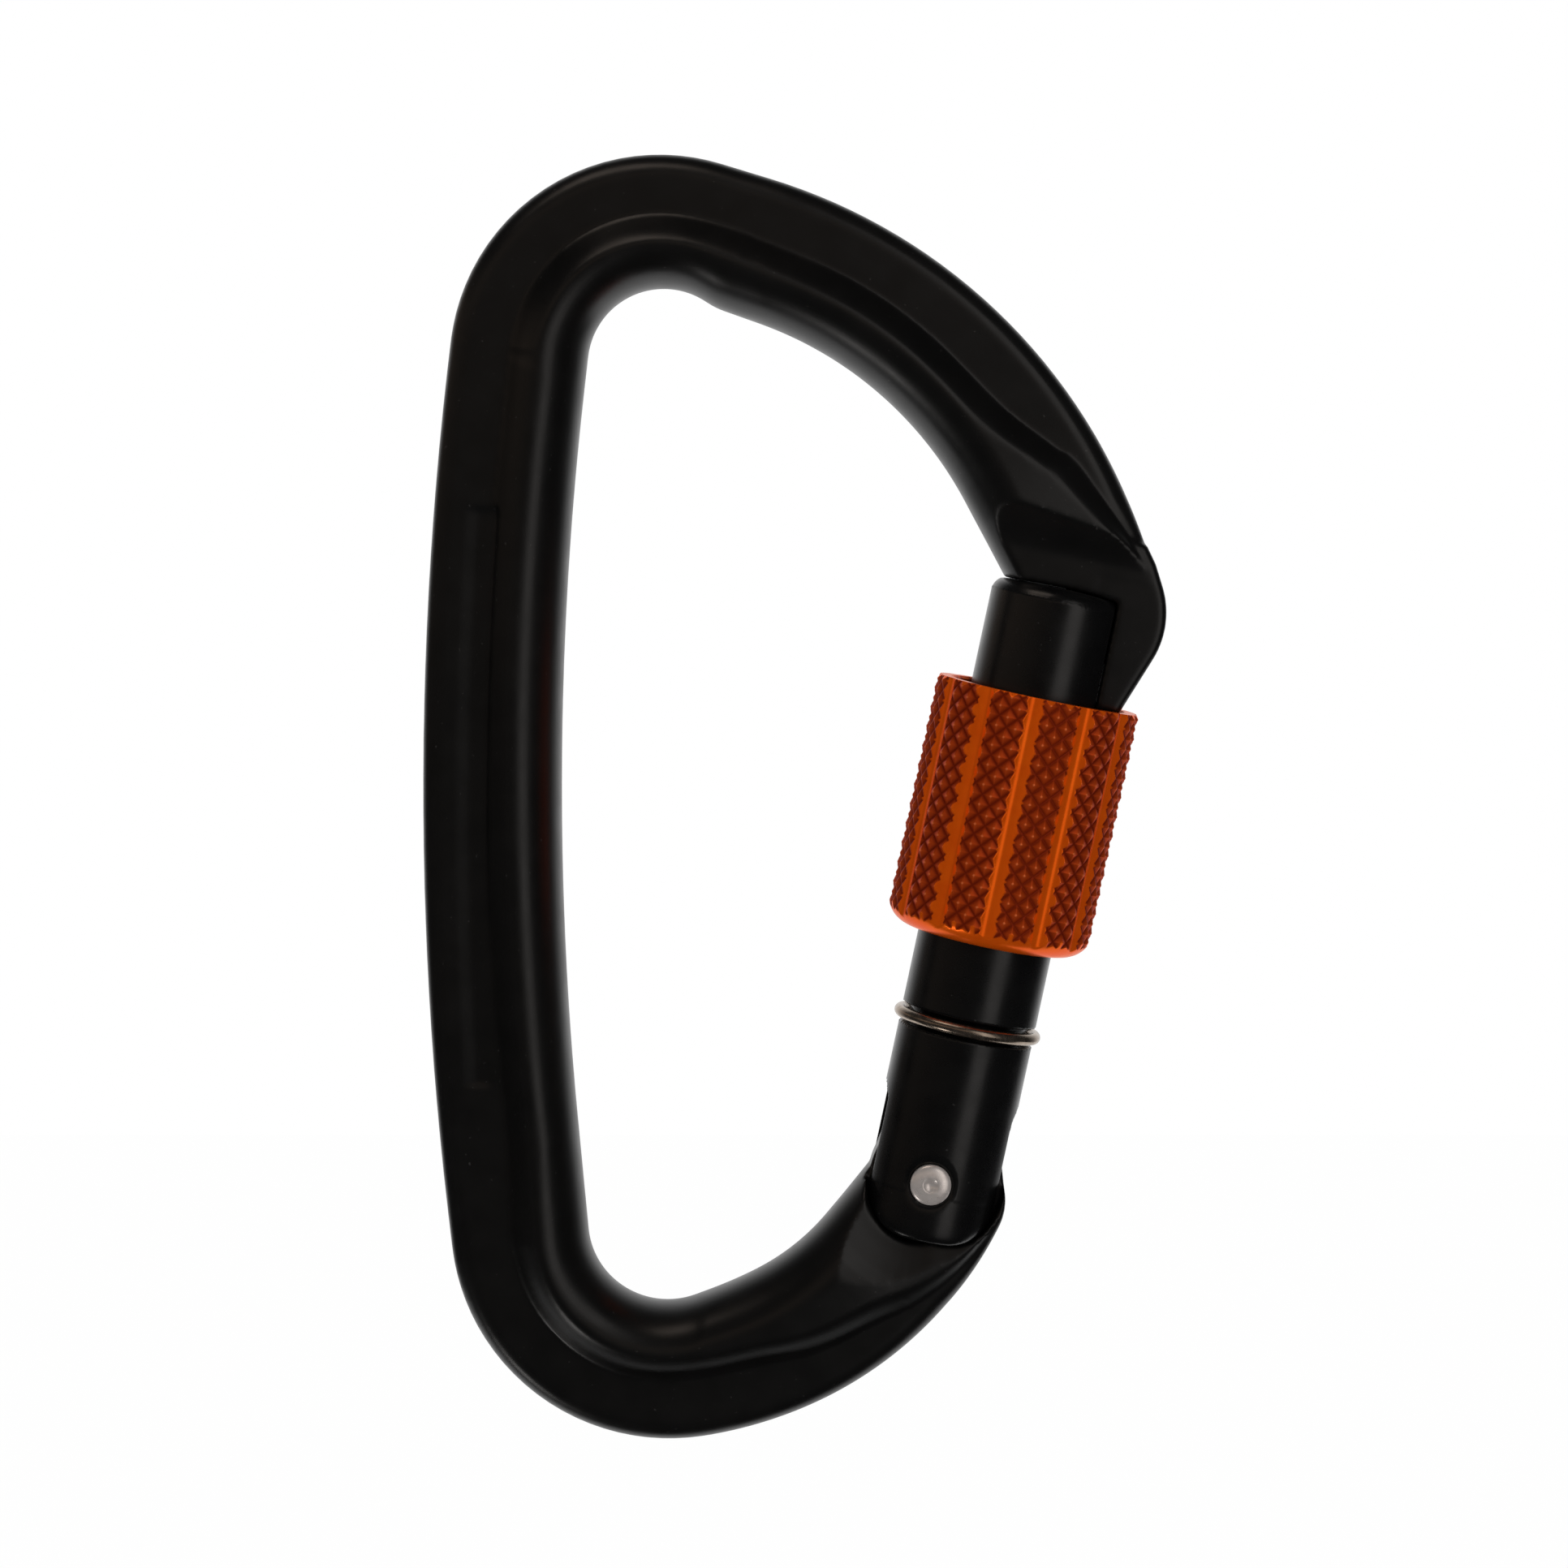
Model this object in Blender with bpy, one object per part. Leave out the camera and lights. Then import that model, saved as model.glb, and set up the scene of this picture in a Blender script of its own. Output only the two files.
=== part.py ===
"""A D-shaped screw-gate carabiner: forged body, hinged gate and threaded sleeve.

The frame has +Z along the load line, +X from the spine to the gate and Y across the flat.
Its origin is the crown of the top basket, where the connector hangs on its anchor.
The gate's own frame has its origin on the hinge line: its z runs up the gate and its x points
away from the opening, so everything that meets the gate is drawn there.
"""
import math

import bmesh
import bpy
import numpy as np

MM = 0.001

# Body: two rails in the XZ plane, as polygons whose corners are rounded off.
# Each corner has its place on the outer and the inner rail, how far each rounding reaches along
# the polygon's sides, and the number of steps round it. All of them are millimetres.
RAIL_START = ((40.75, -26.9), (29.6, -26.9))
RAIL_CORNERS = (
    # outer corner, reach, inner corner, reach, steps
    ((37.9, -16.8), 6.2, (26.9, -21.8), 3.0, 4),    # nose
    ((25.6, 3.7), 17.8, (18.8, -6.7), 11.8, 14),    # upper arm
    ((6.5, 9.45), 1.6, (4.1, -1.5), 0.8, 2),        # lip of the top basket
    ((-14.6, 15.85), 20.1, (-5.0, 4.6), 10.1, 14),  # top basket
    ((-21.85, -39.4), 36.0, (-10.0, -38.0), 30.0, 8),  # bowed spine
    ((-15.5, -96.8), 18.7, (-5.6, -85.5), 8.5, 14),  # bottom basket
    ((7.3, -93.3), 4.4, (5.4, -81.4), 2.2, 3),      # lip of the bottom basket
    ((17.15, -89.1), 6.3, (10.7, -78.7), 3.8, 6),   # lower arm
    ((24.7, -81.4), 4.5, (14.7, -73.9), 1.4, 5),    # hinge root
    ((27.95, -75.1), 1.5, (16.7, -71.4), 0.7, 3),   # hinge cheek
)
RAIL_END = ((27.5, -70.9), (17.8, -70.1))

# Body section: a half-round rope rod on the inner rail and a flat web on the outer rail.
ROD_HALF = 5.0 * MM
ROD_DEPTH = 4.3 * MM
ROD_STEP_DEG = 15
GROOVE_WIDTH = 1.9 * MM
WEB_HALF = 3.05 * MM
WEB_EDGE = 1.6 * MM
RIDGE_LAND = 1.0 * MM
# Along the body a station number is 2 times its corner's number, plus 0 to 1 round the corner.
# The rod's ridge runs out to the web's edge at both ends of the body.
RIDGE_PLACE = ((-1, 12.0), (0, 10.9), (0.5, 8.0), (1, 7.0), (2, 6.6), (2.08, 5.7), (2.16, 4.8), (2.24, 4.4),
               (2.4, 4.4), (2.7, 4.7), (11, 4.7), (13, 5.1), (14, 5.8), (14.6, 6.5), (15, 7.3), (16, 8.1),
               (16.6, 10.2), (17, 11.0), (20, 12.0))
RIDGE_HALF = ((-1, 3.7), (0.5, 4.5), (2.3, 5.0), (14, 5.0), (15, 4.7), (16, 4.2), (17, 3.6), (20, 3.3))

# Shallow pocket in both faces of the spine's web.
POCKET_DEPTH = 0.3 * MM
POCKET_FLOOR = WEB_HALF - POCKET_DEPTH
POCKET_INSET = 2.55 * MM
POCKET_WIDTH = 2.9 * MM
POCKET_TOP = -17.6 * MM
POCKET_BOTTOM = -64.7 * MM

# Gate frame: the hinge line's X and Z, the lean of the gate and the gate's axis beside the hinge.
HINGE_X = 21.6 * MM
HINGE_Z = -72.4 * MM
GATE_TILT = math.radians(11.9)
GATE_SIDE = 0.5 * MM

# Nose, in the gate's frame.
NOSE_HALF = 3.35 * MM
NOSE_FOOT = 49.6 * MM
NOSE_EDGE = 0.6 * MM
SHOULDER_FOOT = 51.6 * MM
SHOULDER_TOP = 54.9 * MM
TAIL_IN = 5.2 * MM
TAIL_FOOT = 41.1 * MM
KEY_NECK = 1.2 * MM
KEY_HEAD = 2.1 * MM
KEY_LOW = 44.4 * MM
KEY_HIGH = 46.6 * MM
KEY_END = 1.5 * MM
KEY_GAP = 0.4 * MM

# Hinge tongue, in the gate's frame.
TONGUE_HALF = 1.6 * MM
TONGUE_RADIUS = 4.9 * MM
CAM_LIFT = 2.2 * MM
OPEN_ANGLE = math.radians(26.0)
CAM_MARGIN = math.radians(4.0)
# The dish that clears the gate's cheeks, as (radius, half thickness left) in millimetres.
DISH = ((6.15, 1.6), (6.45, 1.9), (6.7, 2.5), (7.1, 3.15), (7.9, 3.7), (9.1, 4.25), (10.3, 4.7),
        (11.4, 4.95), (12.8, 5.15), (14.2, 5.4))

# Gate.
GATE_RADIUS = 5.55 * MM
GATE_TOP = 49.25 * MM
GATE_FOOT = -5.3 * MM
GATE_ROUND = 1.3 * MM
HEEL_RADIUS = 3.9 * MM
HEEL_EDGE = 0.7 * MM
FORK_HALF = 1.95 * MM
FORK_ROOT = 7.0 * MM
FLAT_PLACE = 4.95 * MM
FLAT_FOOT = 39.5 * MM
SLOT_END = 1.1 * MM
SPRING_BORE = 2.3 * MM
SPRING_BORE_TOP = 22.0 * MM

# Stop ring.
RING_PLACE = 12.9 * MM
RING_RADIUS = 5.6 * MM
RING_WIRE = 0.5 * MM
RING_SPLIT = math.radians(9.0)
RING_GROOVE = 0.8 * MM

# Screw sleeve.
SLEEVE_FOOT = 19.95 * MM
SLEEVE_LENGTH = 20.6 * MM
SLEEVE_RADIUS = 8.45 * MM
SLEEVE_BORE = 5.85 * MM
SLEEVE_MOUTH = 7.1 * MM
MOUTH_DEPTH = 7.2 * MM
SLEEVE_ROUND = 2.1 * MM
SLEEVE_RIM = 0.35 * MM
SLEEVE_TURN = math.radians(-4.0)
FLUTES = 12
FLUTE_WIDTH = 1.6 * MM
FLUTE_DEPTH = 0.42 * MM

# Hinge rivet.
RIVET_RADIUS = 1.3 * MM
RIVET_HEAD = 1.7 * MM
RIVET_SEAT = 4.9 * MM
RIVET_TOP = 5.75 * MM
RIVET_BORE = 1.6 * MM
RIVET_POCKET = 1.83 * MM
POCKET_SEAT = 4.65 * MM

# Gate spring and its plunger.
PLUNGER_TIP = 5.3 * MM
PLUNGER_RADIUS = 1.6 * MM
PLUNGER_COLLAR = 1.95 * MM
COLLAR_PLACE = 7.4 * MM
COLLAR_HEIGHT = 0.9 * MM
PLUNGER_STEM = 0.95 * MM
PLUNGER_LENGTH = 6.2 * MM
SPRING_RADIUS = 1.65 * MM
SPRING_WIRE = 0.25 * MM
SPRING_TURNS = 11
SPRING_STEPS = 10
SEAT_GAP = 0.3 * MM


def clear_scene():
    """Remove every object of the scene."""
    for item in list(bpy.data.objects):
        bpy.data.objects.remove(item, do_unlink=True)


def material(name, colour, roughness, metallic):
    """A Principled material."""
    made = bpy.data.materials.new(name)
    made.use_nodes = True
    shader = made.node_tree.nodes["Principled BSDF"]
    shader.inputs["Base Color"].default_value = (*colour, 1.0)
    shader.inputs["Roughness"].default_value = roughness
    shader.inputs["Metallic"].default_value = metallic
    return made


def add_mesh(name, points, faces, parent=None):
    """A mesh object from points and faces, with its faces turned outwards."""
    mesh = bpy.data.meshes.new(name)
    mesh.from_pydata([tuple(p) for p in points], [], faces)
    shape = bmesh.new()
    shape.from_mesh(mesh)
    bmesh.ops.recalc_face_normals(shape, faces=shape.faces)
    shape.to_mesh(mesh)
    shape.free()
    item = bpy.data.objects.new(name, mesh)
    item.parent = parent
    bpy.context.collection.objects.link(item)
    return item


def combine(target, tool, operation):
    """Cut a tool out of the target, join it on, or keep what both share."""
    step = target.modifiers.new(tool.name, "BOOLEAN")
    step.operation = operation
    step.solver = "EXACT"
    step.object = tool


def smooth(item, angle=math.radians(32.0)):
    """Shade a round piece smooth between its sharp edges."""
    item.data.shade_smooth()
    item.data.set_sharp_from_angle(angle=angle)


def settle(item):
    """Apply a piece's cuts and joins, remove their tools and shade the result smooth."""
    tools = [step.object for step in item.modifiers]
    graph = bpy.context.evaluated_depsgraph_get()
    shape = bpy.data.meshes.new_from_object(item.evaluated_get(graph))
    item.modifiers.clear()
    item.data = shape
    for tool in tools:
        bpy.data.objects.remove(tool)
    smooth(item)


def stack_rings(rings, closed):
    """Points and faces of a skin over equal rings, closed end to end or capped."""
    count = len(rings[0])
    points = [point for ring in rings for point in ring]
    faces = []
    last = len(rings) if closed else len(rings) - 1
    for i in range(last):
        low, high = i * count, (i + 1) % len(rings) * count
        for k in range(count):
            after = (k + 1) % count
            faces.append((low + k, low + after, high + after, high + k))
    if not closed:
        faces.append(tuple(reversed(range(count))))
        faces.append(tuple(range((len(rings) - 1) * count, len(rings) * count)))
    return points, faces


def prism(name, outline, low, high, lay, parent=None):
    """Extrude a flat outline; lay turns its two coordinates and the depth into a point."""
    rings = [[lay(a, b, depth) for a, b in outline] for depth in (low, high)]
    return add_mesh(name, *stack_rings(rings, closed=False), parent)


def along_y(a, b, depth):
    """Lay an outline in the xz plane."""
    return (a, depth, b)


def along_x(a, b, depth):
    """Lay an outline in the yz plane."""
    return (depth, a, b)


def turned(name, profile, segments, parent=None, axis_x=0.0):
    """Turn a closed profile of (radius, height) about the z axis at axis_x."""
    rings = []
    for i in range(segments):
        turn = 2 * math.pi * i / segments
        rings.append([(axis_x + r * math.cos(turn), r * math.sin(turn), z) for r, z in profile])
    item = add_mesh(name, *stack_rings(rings, closed=True), parent)
    shape = bmesh.new()
    shape.from_mesh(item.data)
    bmesh.ops.remove_doubles(shape, verts=shape.verts, dist=1e-7)
    bmesh.ops.dissolve_degenerate(shape, edges=shape.edges, dist=1e-7)
    bmesh.ops.recalc_face_normals(shape, faces=shape.faces)
    shape.to_mesh(item.data)
    shape.free()
    return item


def arc(centre, radius, start_deg, end_deg, steps):
    """Points round an arc."""
    turns = np.radians(np.linspace(start_deg, end_deg, steps + 1))
    return [(centre[0] + radius * math.cos(t), centre[1] + radius * math.sin(t)) for t in turns]


def rounded_corner(before, corner, after, reach, steps):
    """Points round one corner of a polygon, on the circle that touches both its sides."""
    before, corner, after = (np.array(p, float) for p in (before, corner, after))
    back = (before - corner) / np.linalg.norm(before - corner)
    ahead = (after - corner) / np.linalg.norm(after - corner)
    pull = math.sqrt((1 - back @ ahead) / 2)
    points = []
    for w in np.linspace(0, 1, steps + 1):
        weights = ((1 - w) ** 2, 2 * w * (1 - w) * pull, w ** 2)
        ends = (corner + back * reach, corner, corner + ahead * reach)
        points.append(sum(k * p for k, p in zip(weights, ends)) / sum(weights))
    return points


def rails():
    """The body's stations: (station number, outer point, inner point), in metres."""
    outer = [RAIL_START[0], *(c[0] for c in RAIL_CORNERS), RAIL_END[0]]
    inner = [RAIL_START[1], *(c[2] for c in RAIL_CORNERS), RAIL_END[1]]
    stations = [(-1.0, np.array(outer[0]) * MM, np.array(inner[0]) * MM)]
    for i, (_, outer_reach, _, inner_reach, steps) in enumerate(RAIL_CORNERS):
        outside = rounded_corner(*outer[i:i + 3], outer_reach, steps)
        inside = rounded_corner(*inner[i:i + 3], inner_reach, steps)
        for k in range(steps + 1):
            stations.append((2 * i + k / steps, outside[k] * MM, inside[k] * MM))
    stations.append((2.0 * len(RAIL_CORNERS), np.array(outer[-1]) * MM, np.array(inner[-1]) * MM))
    return stations


def along(knots, station):
    """Read a value in metres from (station, millimetres) knots."""
    places, values = zip(*knots)
    return float(np.interp(station, places, values)) * MM


def half_section(station, width):
    """One side of the body's section: (distance from the inner rail, half thickness)."""
    ridge = min(along(RIDGE_PLACE, station), width - RIDGE_LAND)
    ridge_half = along(RIDGE_HALF, station)
    room = width - ridge
    groove, edge = min(GROOVE_WIDTH, room * 0.5), min(WEB_EDGE, room * 0.45)
    side = [(ROD_DEPTH * (1 - math.cos(math.radians(a))), ROD_HALF * math.sin(math.radians(a)))
            for a in range(ROD_STEP_DEG, 91, ROD_STEP_DEG)]
    side.append((ridge, ridge_half))
    for part, drop in ((0.12, 0.38), (0.32, 0.70), (0.62, 0.92), (1.0, 1.0)):
        side.append((ridge + groove * part, ridge_half + (WEB_HALF - ridge_half) * drop))
    for angle in (0, 30, 60, 90):
        turn = math.radians(angle)
        drop = edge * (1 - math.cos(turn))
        side.append((width - edge + edge * math.sin(turn), WEB_HALF - drop))
    return side


def section_ring(station, outer, inner):
    """The body's section as points in space."""
    width = float(np.linalg.norm(outer - inner))
    out = (outer - inner) / width
    side = half_section(station, width)
    flat = [(0.0, 0.0), *side, *((d, -y) for d, y in reversed(side))]
    return [(inner[0] + out[0] * d, y, inner[1] + out[1] * d) for d, y in flat]


def body_blank():
    """The forged bar, lofted between its two rails."""
    rings = [section_ring(*station) for station in rails()]
    return add_mesh("body", *stack_rings(rings, closed=False))


def pocket_tool(side):
    """A bar that follows the spine and sinks the pocket into one face of the web."""
    rings = []
    spine = [s for s in rails() if POCKET_BOTTOM < s[1][1] < POCKET_TOP and s[1][0] < 0]
    ends = [(POCKET_TOP, spine[0]), *((s[1][1], s) for s in spine), (POCKET_BOTTOM, spine[-1])]
    for height, (_, outer, inner) in ends:
        edge = outer[0] + (inner[0] - outer[0]) / np.linalg.norm(inner - outer) * POCKET_INSET
        box = ((edge, POCKET_FLOOR), (edge + POCKET_WIDTH, POCKET_FLOOR),
               (edge + POCKET_WIDTH, ROD_HALF), (edge, ROD_HALF))
        rings.append([(x, side * y, height) for x, y in box])
    return add_mesh(f"pocket_tool_{'near' if side < 0 else 'far'}", *stack_rings(rings, closed=False))


def nose_outline():
    """The nose plate seen from the side, with the tail that runs down outside the gate."""
    inner_side = [(-6.3, 52.8), (-5.5, 51.0), (-4.9, 50.0)]
    foot = [(-4.5, NOSE_FOOT / MM), (TAIL_IN / MM, NOSE_FOOT / MM)]
    tail = [(TAIL_IN / MM, TAIL_FOOT / MM + 0.25), (7.3, TAIL_FOOT / MM)]
    outer_side = rounded_corner((7.3, 41.1), (9.94, 48.4), (7.1, 53.4), 3.3, 7)
    top = [(7.4, 52.9), (6.4, 54.2), (3.0, 55.2), (-3.0, 55.2)]
    return [(a * MM, b * MM) for a, b in (*inner_side, *foot, *tail, *outer_side, *top)]


def is_rim(edge):
    """Whether an edge of the nose plate lies on its face's outline, away from the gate."""
    one, other = (v.co for v in edge.verts)
    on_face = abs(abs(one.y) - NOSE_HALF) < 1e-7 and abs(one.y - other.y) < 1e-7
    by_gate = max(one.z, other.z) < NOSE_FOOT + 1e-7 and max(one.x, other.x) < TAIL_IN + 1e-7
    return on_face and not by_gate


def nose_plate(frame):
    """The flat nose, with its rim edges rounded off."""
    plate = prism("nose_plate", nose_outline(), -NOSE_HALF, NOSE_HALF, along_y, frame)
    shape = bmesh.new()
    shape.from_mesh(plate.data)
    rim = [e for e in shape.edges if is_rim(e)]
    bmesh.ops.bevel(shape, geom=rim, offset=NOSE_EDGE, segments=2, profile=0.5, affect="EDGES")
    shape.to_mesh(plate.data)
    shape.free()
    return plate


def shoulder_tools(frame):
    """The trim under the nose and the two ramps from the rod down to the nose plate."""
    span = (-14 * MM, 16 * MM)
    low, deep = 34 * MM, 9 * MM
    trim_top = SHOULDER_FOOT - 0.4 * MM
    trim = prism("nose_trim", [(-deep, low), (deep, low), (deep, trim_top), (-deep, trim_top)],
                 *span, along_x, frame)
    tools = [trim]
    rise = ROD_HALF + 0.4 * MM - NOSE_HALF
    for side in (-1, 1):
        ramp = [(side * (NOSE_HALF + 0.02 * MM), SHOULDER_FOOT - 0.8 * MM)]
        for part, up in ((0.12, 0.0), (0.35, 0.14), (0.62, 0.42), (1.0, 1.0)):
            height = SHOULDER_FOOT + (SHOULDER_TOP - SHOULDER_FOOT) * part
            ramp.append((side * (NOSE_HALF + 0.02 * MM + rise * up), height))
        ramp += [(side * deep, SHOULDER_TOP), (side * deep, SHOULDER_FOOT - 0.8 * MM)]
        tools.append(prism(f"shoulder_tool_{side}", ramp, *span, along_x, frame))
    return tools


def key_outline(gap):
    """The T of the key lock seen along its slot, grown by a gap."""
    neck, head = KEY_NECK + gap, KEY_HEAD + gap
    low, high, top = KEY_LOW - gap, KEY_HIGH + gap, NOSE_FOOT + 0.8 * MM
    corner = 0.5 * MM
    half = [(head - corner, low), (head, low + corner), (head, high - corner), (head - corner, high),
            (neck, high), (neck, top)]
    return half + [(-y, z) for y, z in reversed(half)]


def cam_radius(turn):
    """The tongue's radius at an angle from the gate's axis towards the opening.

    It grows by the same amount per degree as the gate opens, so the plunger follows the gate.
    """
    full = OPEN_ANGLE + CAM_MARGIN
    if turn <= full:
        return TONGUE_RADIUS + CAM_LIFT * max(turn, 0.0)
    fade = min((turn - full) / math.radians(45.0), 1.0)
    return TONGUE_RADIUS + CAM_LIFT * full * (1 + math.cos(math.pi * fade)) / 2


def tongue(frame):
    """The hinge tongue with its spring cam, thick enough to be milled to size."""
    turns = np.radians(np.arange(-120.0, 121.0, 6.0))
    outline = [(-cam_radius(t) * math.sin(t), cam_radius(t) * math.cos(t)) for t in turns]
    return prism("tongue_blank", outline, -2.4 * MM, 2.4 * MM, along_y, frame)


def dish_tool(frame, side):
    """A round cutter on the hinge line with a flat face and a rim that blends into the rod."""
    rim = [(r * MM, y * MM) for r, y in DISH]
    top = rim[-1][1] + 2 * MM
    tool = turned(f"dish_tool_{side}", [(0.0, TONGUE_HALF), *rim, (rim[-1][0], top), (0.0, top)], 64, frame)
    tool.rotation_euler = (-side * math.pi / 2, 0, 0)
    return tool


def bore_tool(name, radius, low, high, frame, segments=32):
    """A plain round cutter along the hinge line."""
    tool = turned(name, [(0, low), (radius, low), (radius, high), (0, high)], segments, frame)
    tool.rotation_euler = (-math.pi / 2, 0, 0)
    return tool


def make_body(frame):
    """The forged body with its nose, key, tongue and pockets."""
    body = body_blank()
    trim, *shoulders = shoulder_tools(frame)
    combine(body, trim, "DIFFERENCE")
    combine(body, nose_plate(frame), "UNION")
    for tool in shoulders:
        combine(body, tool, "DIFFERENCE")
    key = prism("key", key_outline(0.0), KEY_END, TAIL_IN + 0.5 * MM, along_x, frame)
    combine(body, key, "UNION")
    combine(body, tongue(frame), "UNION")
    for side in (-1, 1):
        combine(body, dish_tool(frame, side), "DIFFERENCE")
        combine(body, pocket_tool(side), "DIFFERENCE")
    combine(body, bore_tool("tongue_bore", RIVET_BORE, -4 * MM, 4 * MM, frame), "DIFFERENCE")
    settle(body)
    body.data.materials.append(material("anodised_black", (0.012, 0.012, 0.013), 0.36, 0.6))
    return body


def gate_profile():
    """Half of the gate rod's turned outline, with the ring's groove."""
    low = GATE_FOOT - 2 * MM
    groove = arc((GATE_RADIUS + 0.05 * MM, RING_PLACE), RING_GROOVE, -94, -266, 6)
    crown = arc((GATE_RADIUS - GATE_ROUND, GATE_TOP - GATE_ROUND), GATE_ROUND, 0, 90, 5)
    rim = [(min(r, GATE_RADIUS), z) for r, z in groove]
    return [(0.0, low), (GATE_RADIUS, low), *rim, *crown, (0.0, GATE_TOP)]


def heel_outline(inset):
    """The gate seen from the side, with its lower corners rounded round the hinge.

    Away from the straight sides the outline draws in by the inset.
    """
    arm, top = GATE_RADIUS - HEEL_RADIUS, GATE_TOP + 2 * MM
    clear = GATE_RADIUS + 0.3 * MM
    points = []
    for side, angles in ((-1, range(180, 271, 10)), (1, range(270, 361, 10))):
        for angle in angles:
            off_side = angle - 180 if side < 0 else 360 - angle
            radius = HEEL_RADIUS - inset * min(off_side / 40, 1.0)
            turn = math.radians(angle)
            points.append((GATE_SIDE + side * arm + radius * math.cos(turn),
                           GATE_FOOT + HEEL_RADIUS + radius * math.sin(turn)))
    left, right = GATE_SIDE - clear, GATE_SIDE + clear
    return [(left, top), (left, 2 * MM), *points, (right, 2 * MM), (right, top)]


def heel_ring(side, place, inset):
    """One ring of the heel shape; place is its depth outside the rod's face, None is well clear."""
    ring = []
    for (x, z), (edge_x, _) in zip(heel_outline(inset), heel_outline(0.0)):
        reach = GATE_RADIUS ** 2 - (edge_x - GATE_SIDE) ** 2
        face = math.sqrt(max(reach, (1.5 * MM) ** 2))
        ring.append((x, side * (7 * MM if place is None else face + place), z))
    return ring


def heel_shape(frame):
    """The solid that the gate's foot is milled to, with its edge rounded where it meets the rod."""
    steps = [(None, HEEL_EDGE)]
    for angle in (90, 60, 30, 0):
        turn = math.radians(angle)
        steps.append((HEEL_EDGE * (math.sin(turn) - 1), HEEL_EDGE * (1 - math.cos(turn))))
    rings = [heel_ring(1, *step) for step in steps] + [heel_ring(-1, *step) for step in reversed(steps)]
    return add_mesh("heel_shape", *stack_rings(rings, closed=False), frame)


def fork_tool(frame):
    """The fork's slot, with the round root that its milling cutter leaves."""
    root = arc((0.0, FORK_ROOT - FORK_HALF), FORK_HALF, 0, 180, 8)
    outline = [(-FORK_HALF, -9 * MM), (FORK_HALF, -9 * MM), *root]
    return prism("fork_tool", outline, -8 * MM, 9 * MM, along_x, frame)


def make_gate(frame):
    """The gate rod with its fork, spring bore, flat and key slot."""
    gate = turned("gate", gate_profile(), 48, frame, GATE_SIDE)
    combine(gate, heel_shape(frame), "INTERSECT")
    combine(gate, fork_tool(frame), "DIFFERENCE")
    bore = turned("spring_bore", [(0, 3 * MM), (SPRING_BORE, 3 * MM), (SPRING_BORE, SPRING_BORE_TOP),
                                  (0, SPRING_BORE_TOP)], 24, frame, GATE_SIDE)
    combine(gate, bore, "DIFFERENCE")
    flat = prism("flat_tool", [(-7 * MM, FLAT_FOOT), (7 * MM, FLAT_FOOT), (7 * MM, 52 * MM), (-7 * MM, 52 * MM)],
                 FLAT_PLACE, 9 * MM, along_x, frame)
    combine(gate, flat, "DIFFERENCE")
    slot = prism("key_slot", key_outline(KEY_GAP), SLOT_END, 9 * MM, along_x, frame)
    combine(gate, slot, "DIFFERENCE")
    combine(gate, bore_tool("rivet_bore", RIVET_BORE, -7 * MM, 7 * MM, frame), "DIFFERENCE")
    for side in (-1, 1):
        reach = sorted((side * POCKET_SEAT, side * 7 * MM))
        combine(gate, bore_tool(f"rivet_pocket_{side}", RIVET_POCKET, *reach, frame), "DIFFERENCE")
    settle(gate)
    gate.data.materials.append(material("gate_black", (0.012, 0.012, 0.014), 0.3, 0.6))
    return gate


def sleeve_outer(height):
    """The sleeve's outer radius at a height above its foot."""
    if height < SLEEVE_ROUND:
        lift = 1 - height / SLEEVE_ROUND
        return SLEEVE_RADIUS - SLEEVE_ROUND * (1 - math.sqrt(max(1 - lift ** 2, 0.0))) * 1.1
    if height > SLEEVE_LENGTH - SLEEVE_RIM:
        return SLEEVE_RADIUS - (height - SLEEVE_LENGTH + SLEEVE_RIM) * 0.8
    return SLEEVE_RADIUS


def flute_radius(turn):
    """The sleeve's radius at an angle: round lands with shallow round flutes between them."""
    pitch = 2 * math.pi / FLUTES
    off = abs((turn + pitch / 2) % pitch - pitch / 2) * SLEEVE_RADIUS
    if off >= FLUTE_WIDTH / 2:
        return SLEEVE_RADIUS
    return SLEEVE_RADIUS - FLUTE_DEPTH * math.cos(math.pi * off / FLUTE_WIDTH)


def sleeve_turns():
    """Angles round the sleeve: close over each flute, wide over each land."""
    pitch = 2 * math.pi / FLUTES
    half = FLUTE_WIDTH / 2 / SLEEVE_RADIUS
    offsets = [-half, -half * 0.5, 0.0, half * 0.5, half, pitch / 2 - half * 0.7, pitch / 2 + half * 0.7]
    return [i * pitch + off for i in range(FLUTES) for off in offsets]


def make_sleeve(frame):
    """The screw sleeve: fluted outside, with a thread bore and a wider mouth for the nose's tail."""
    turns = sleeve_turns()
    foot = [SLEEVE_ROUND * (1 - math.cos(math.radians(a))) for a in (0, 15, 32, 50, 70, 90)]
    heights = [*foot, SLEEVE_LENGTH - SLEEVE_RIM, SLEEVE_LENGTH]
    rings = [[(min(sleeve_outer(h), flute_radius(t)), h) for t in turns] for h in heights]
    mouth = SLEEVE_LENGTH - MOUTH_DEPTH
    for radius, height in ((SLEEVE_MOUTH + 0.15 * MM, SLEEVE_LENGTH), (SLEEVE_MOUTH, SLEEVE_LENGTH - 0.2 * MM),
                           (SLEEVE_MOUTH, mouth), (SLEEVE_BORE, mouth - 0.7 * MM),
                           (SLEEVE_BORE, 0.15 * MM), (SLEEVE_BORE + 0.15 * MM, 0.0)):
        rings.append([(radius, height)] * len(turns))
    placed = [[(r * math.cos(t), r * math.sin(t), h) for (r, h), t in zip(ring, turns)] for ring in rings]
    sleeve = add_mesh("screw_sleeve", *stack_rings(placed, closed=True), frame)
    sleeve.location = (GATE_SIDE, 0, SLEEVE_FOOT)
    sleeve.rotation_euler = (0, 0, SLEEVE_TURN)
    smooth(sleeve)
    sleeve.data.materials.append(material("anodised_orange", (0.62, 0.13, 0.02), 0.32, 0.85))
    return sleeve


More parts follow.
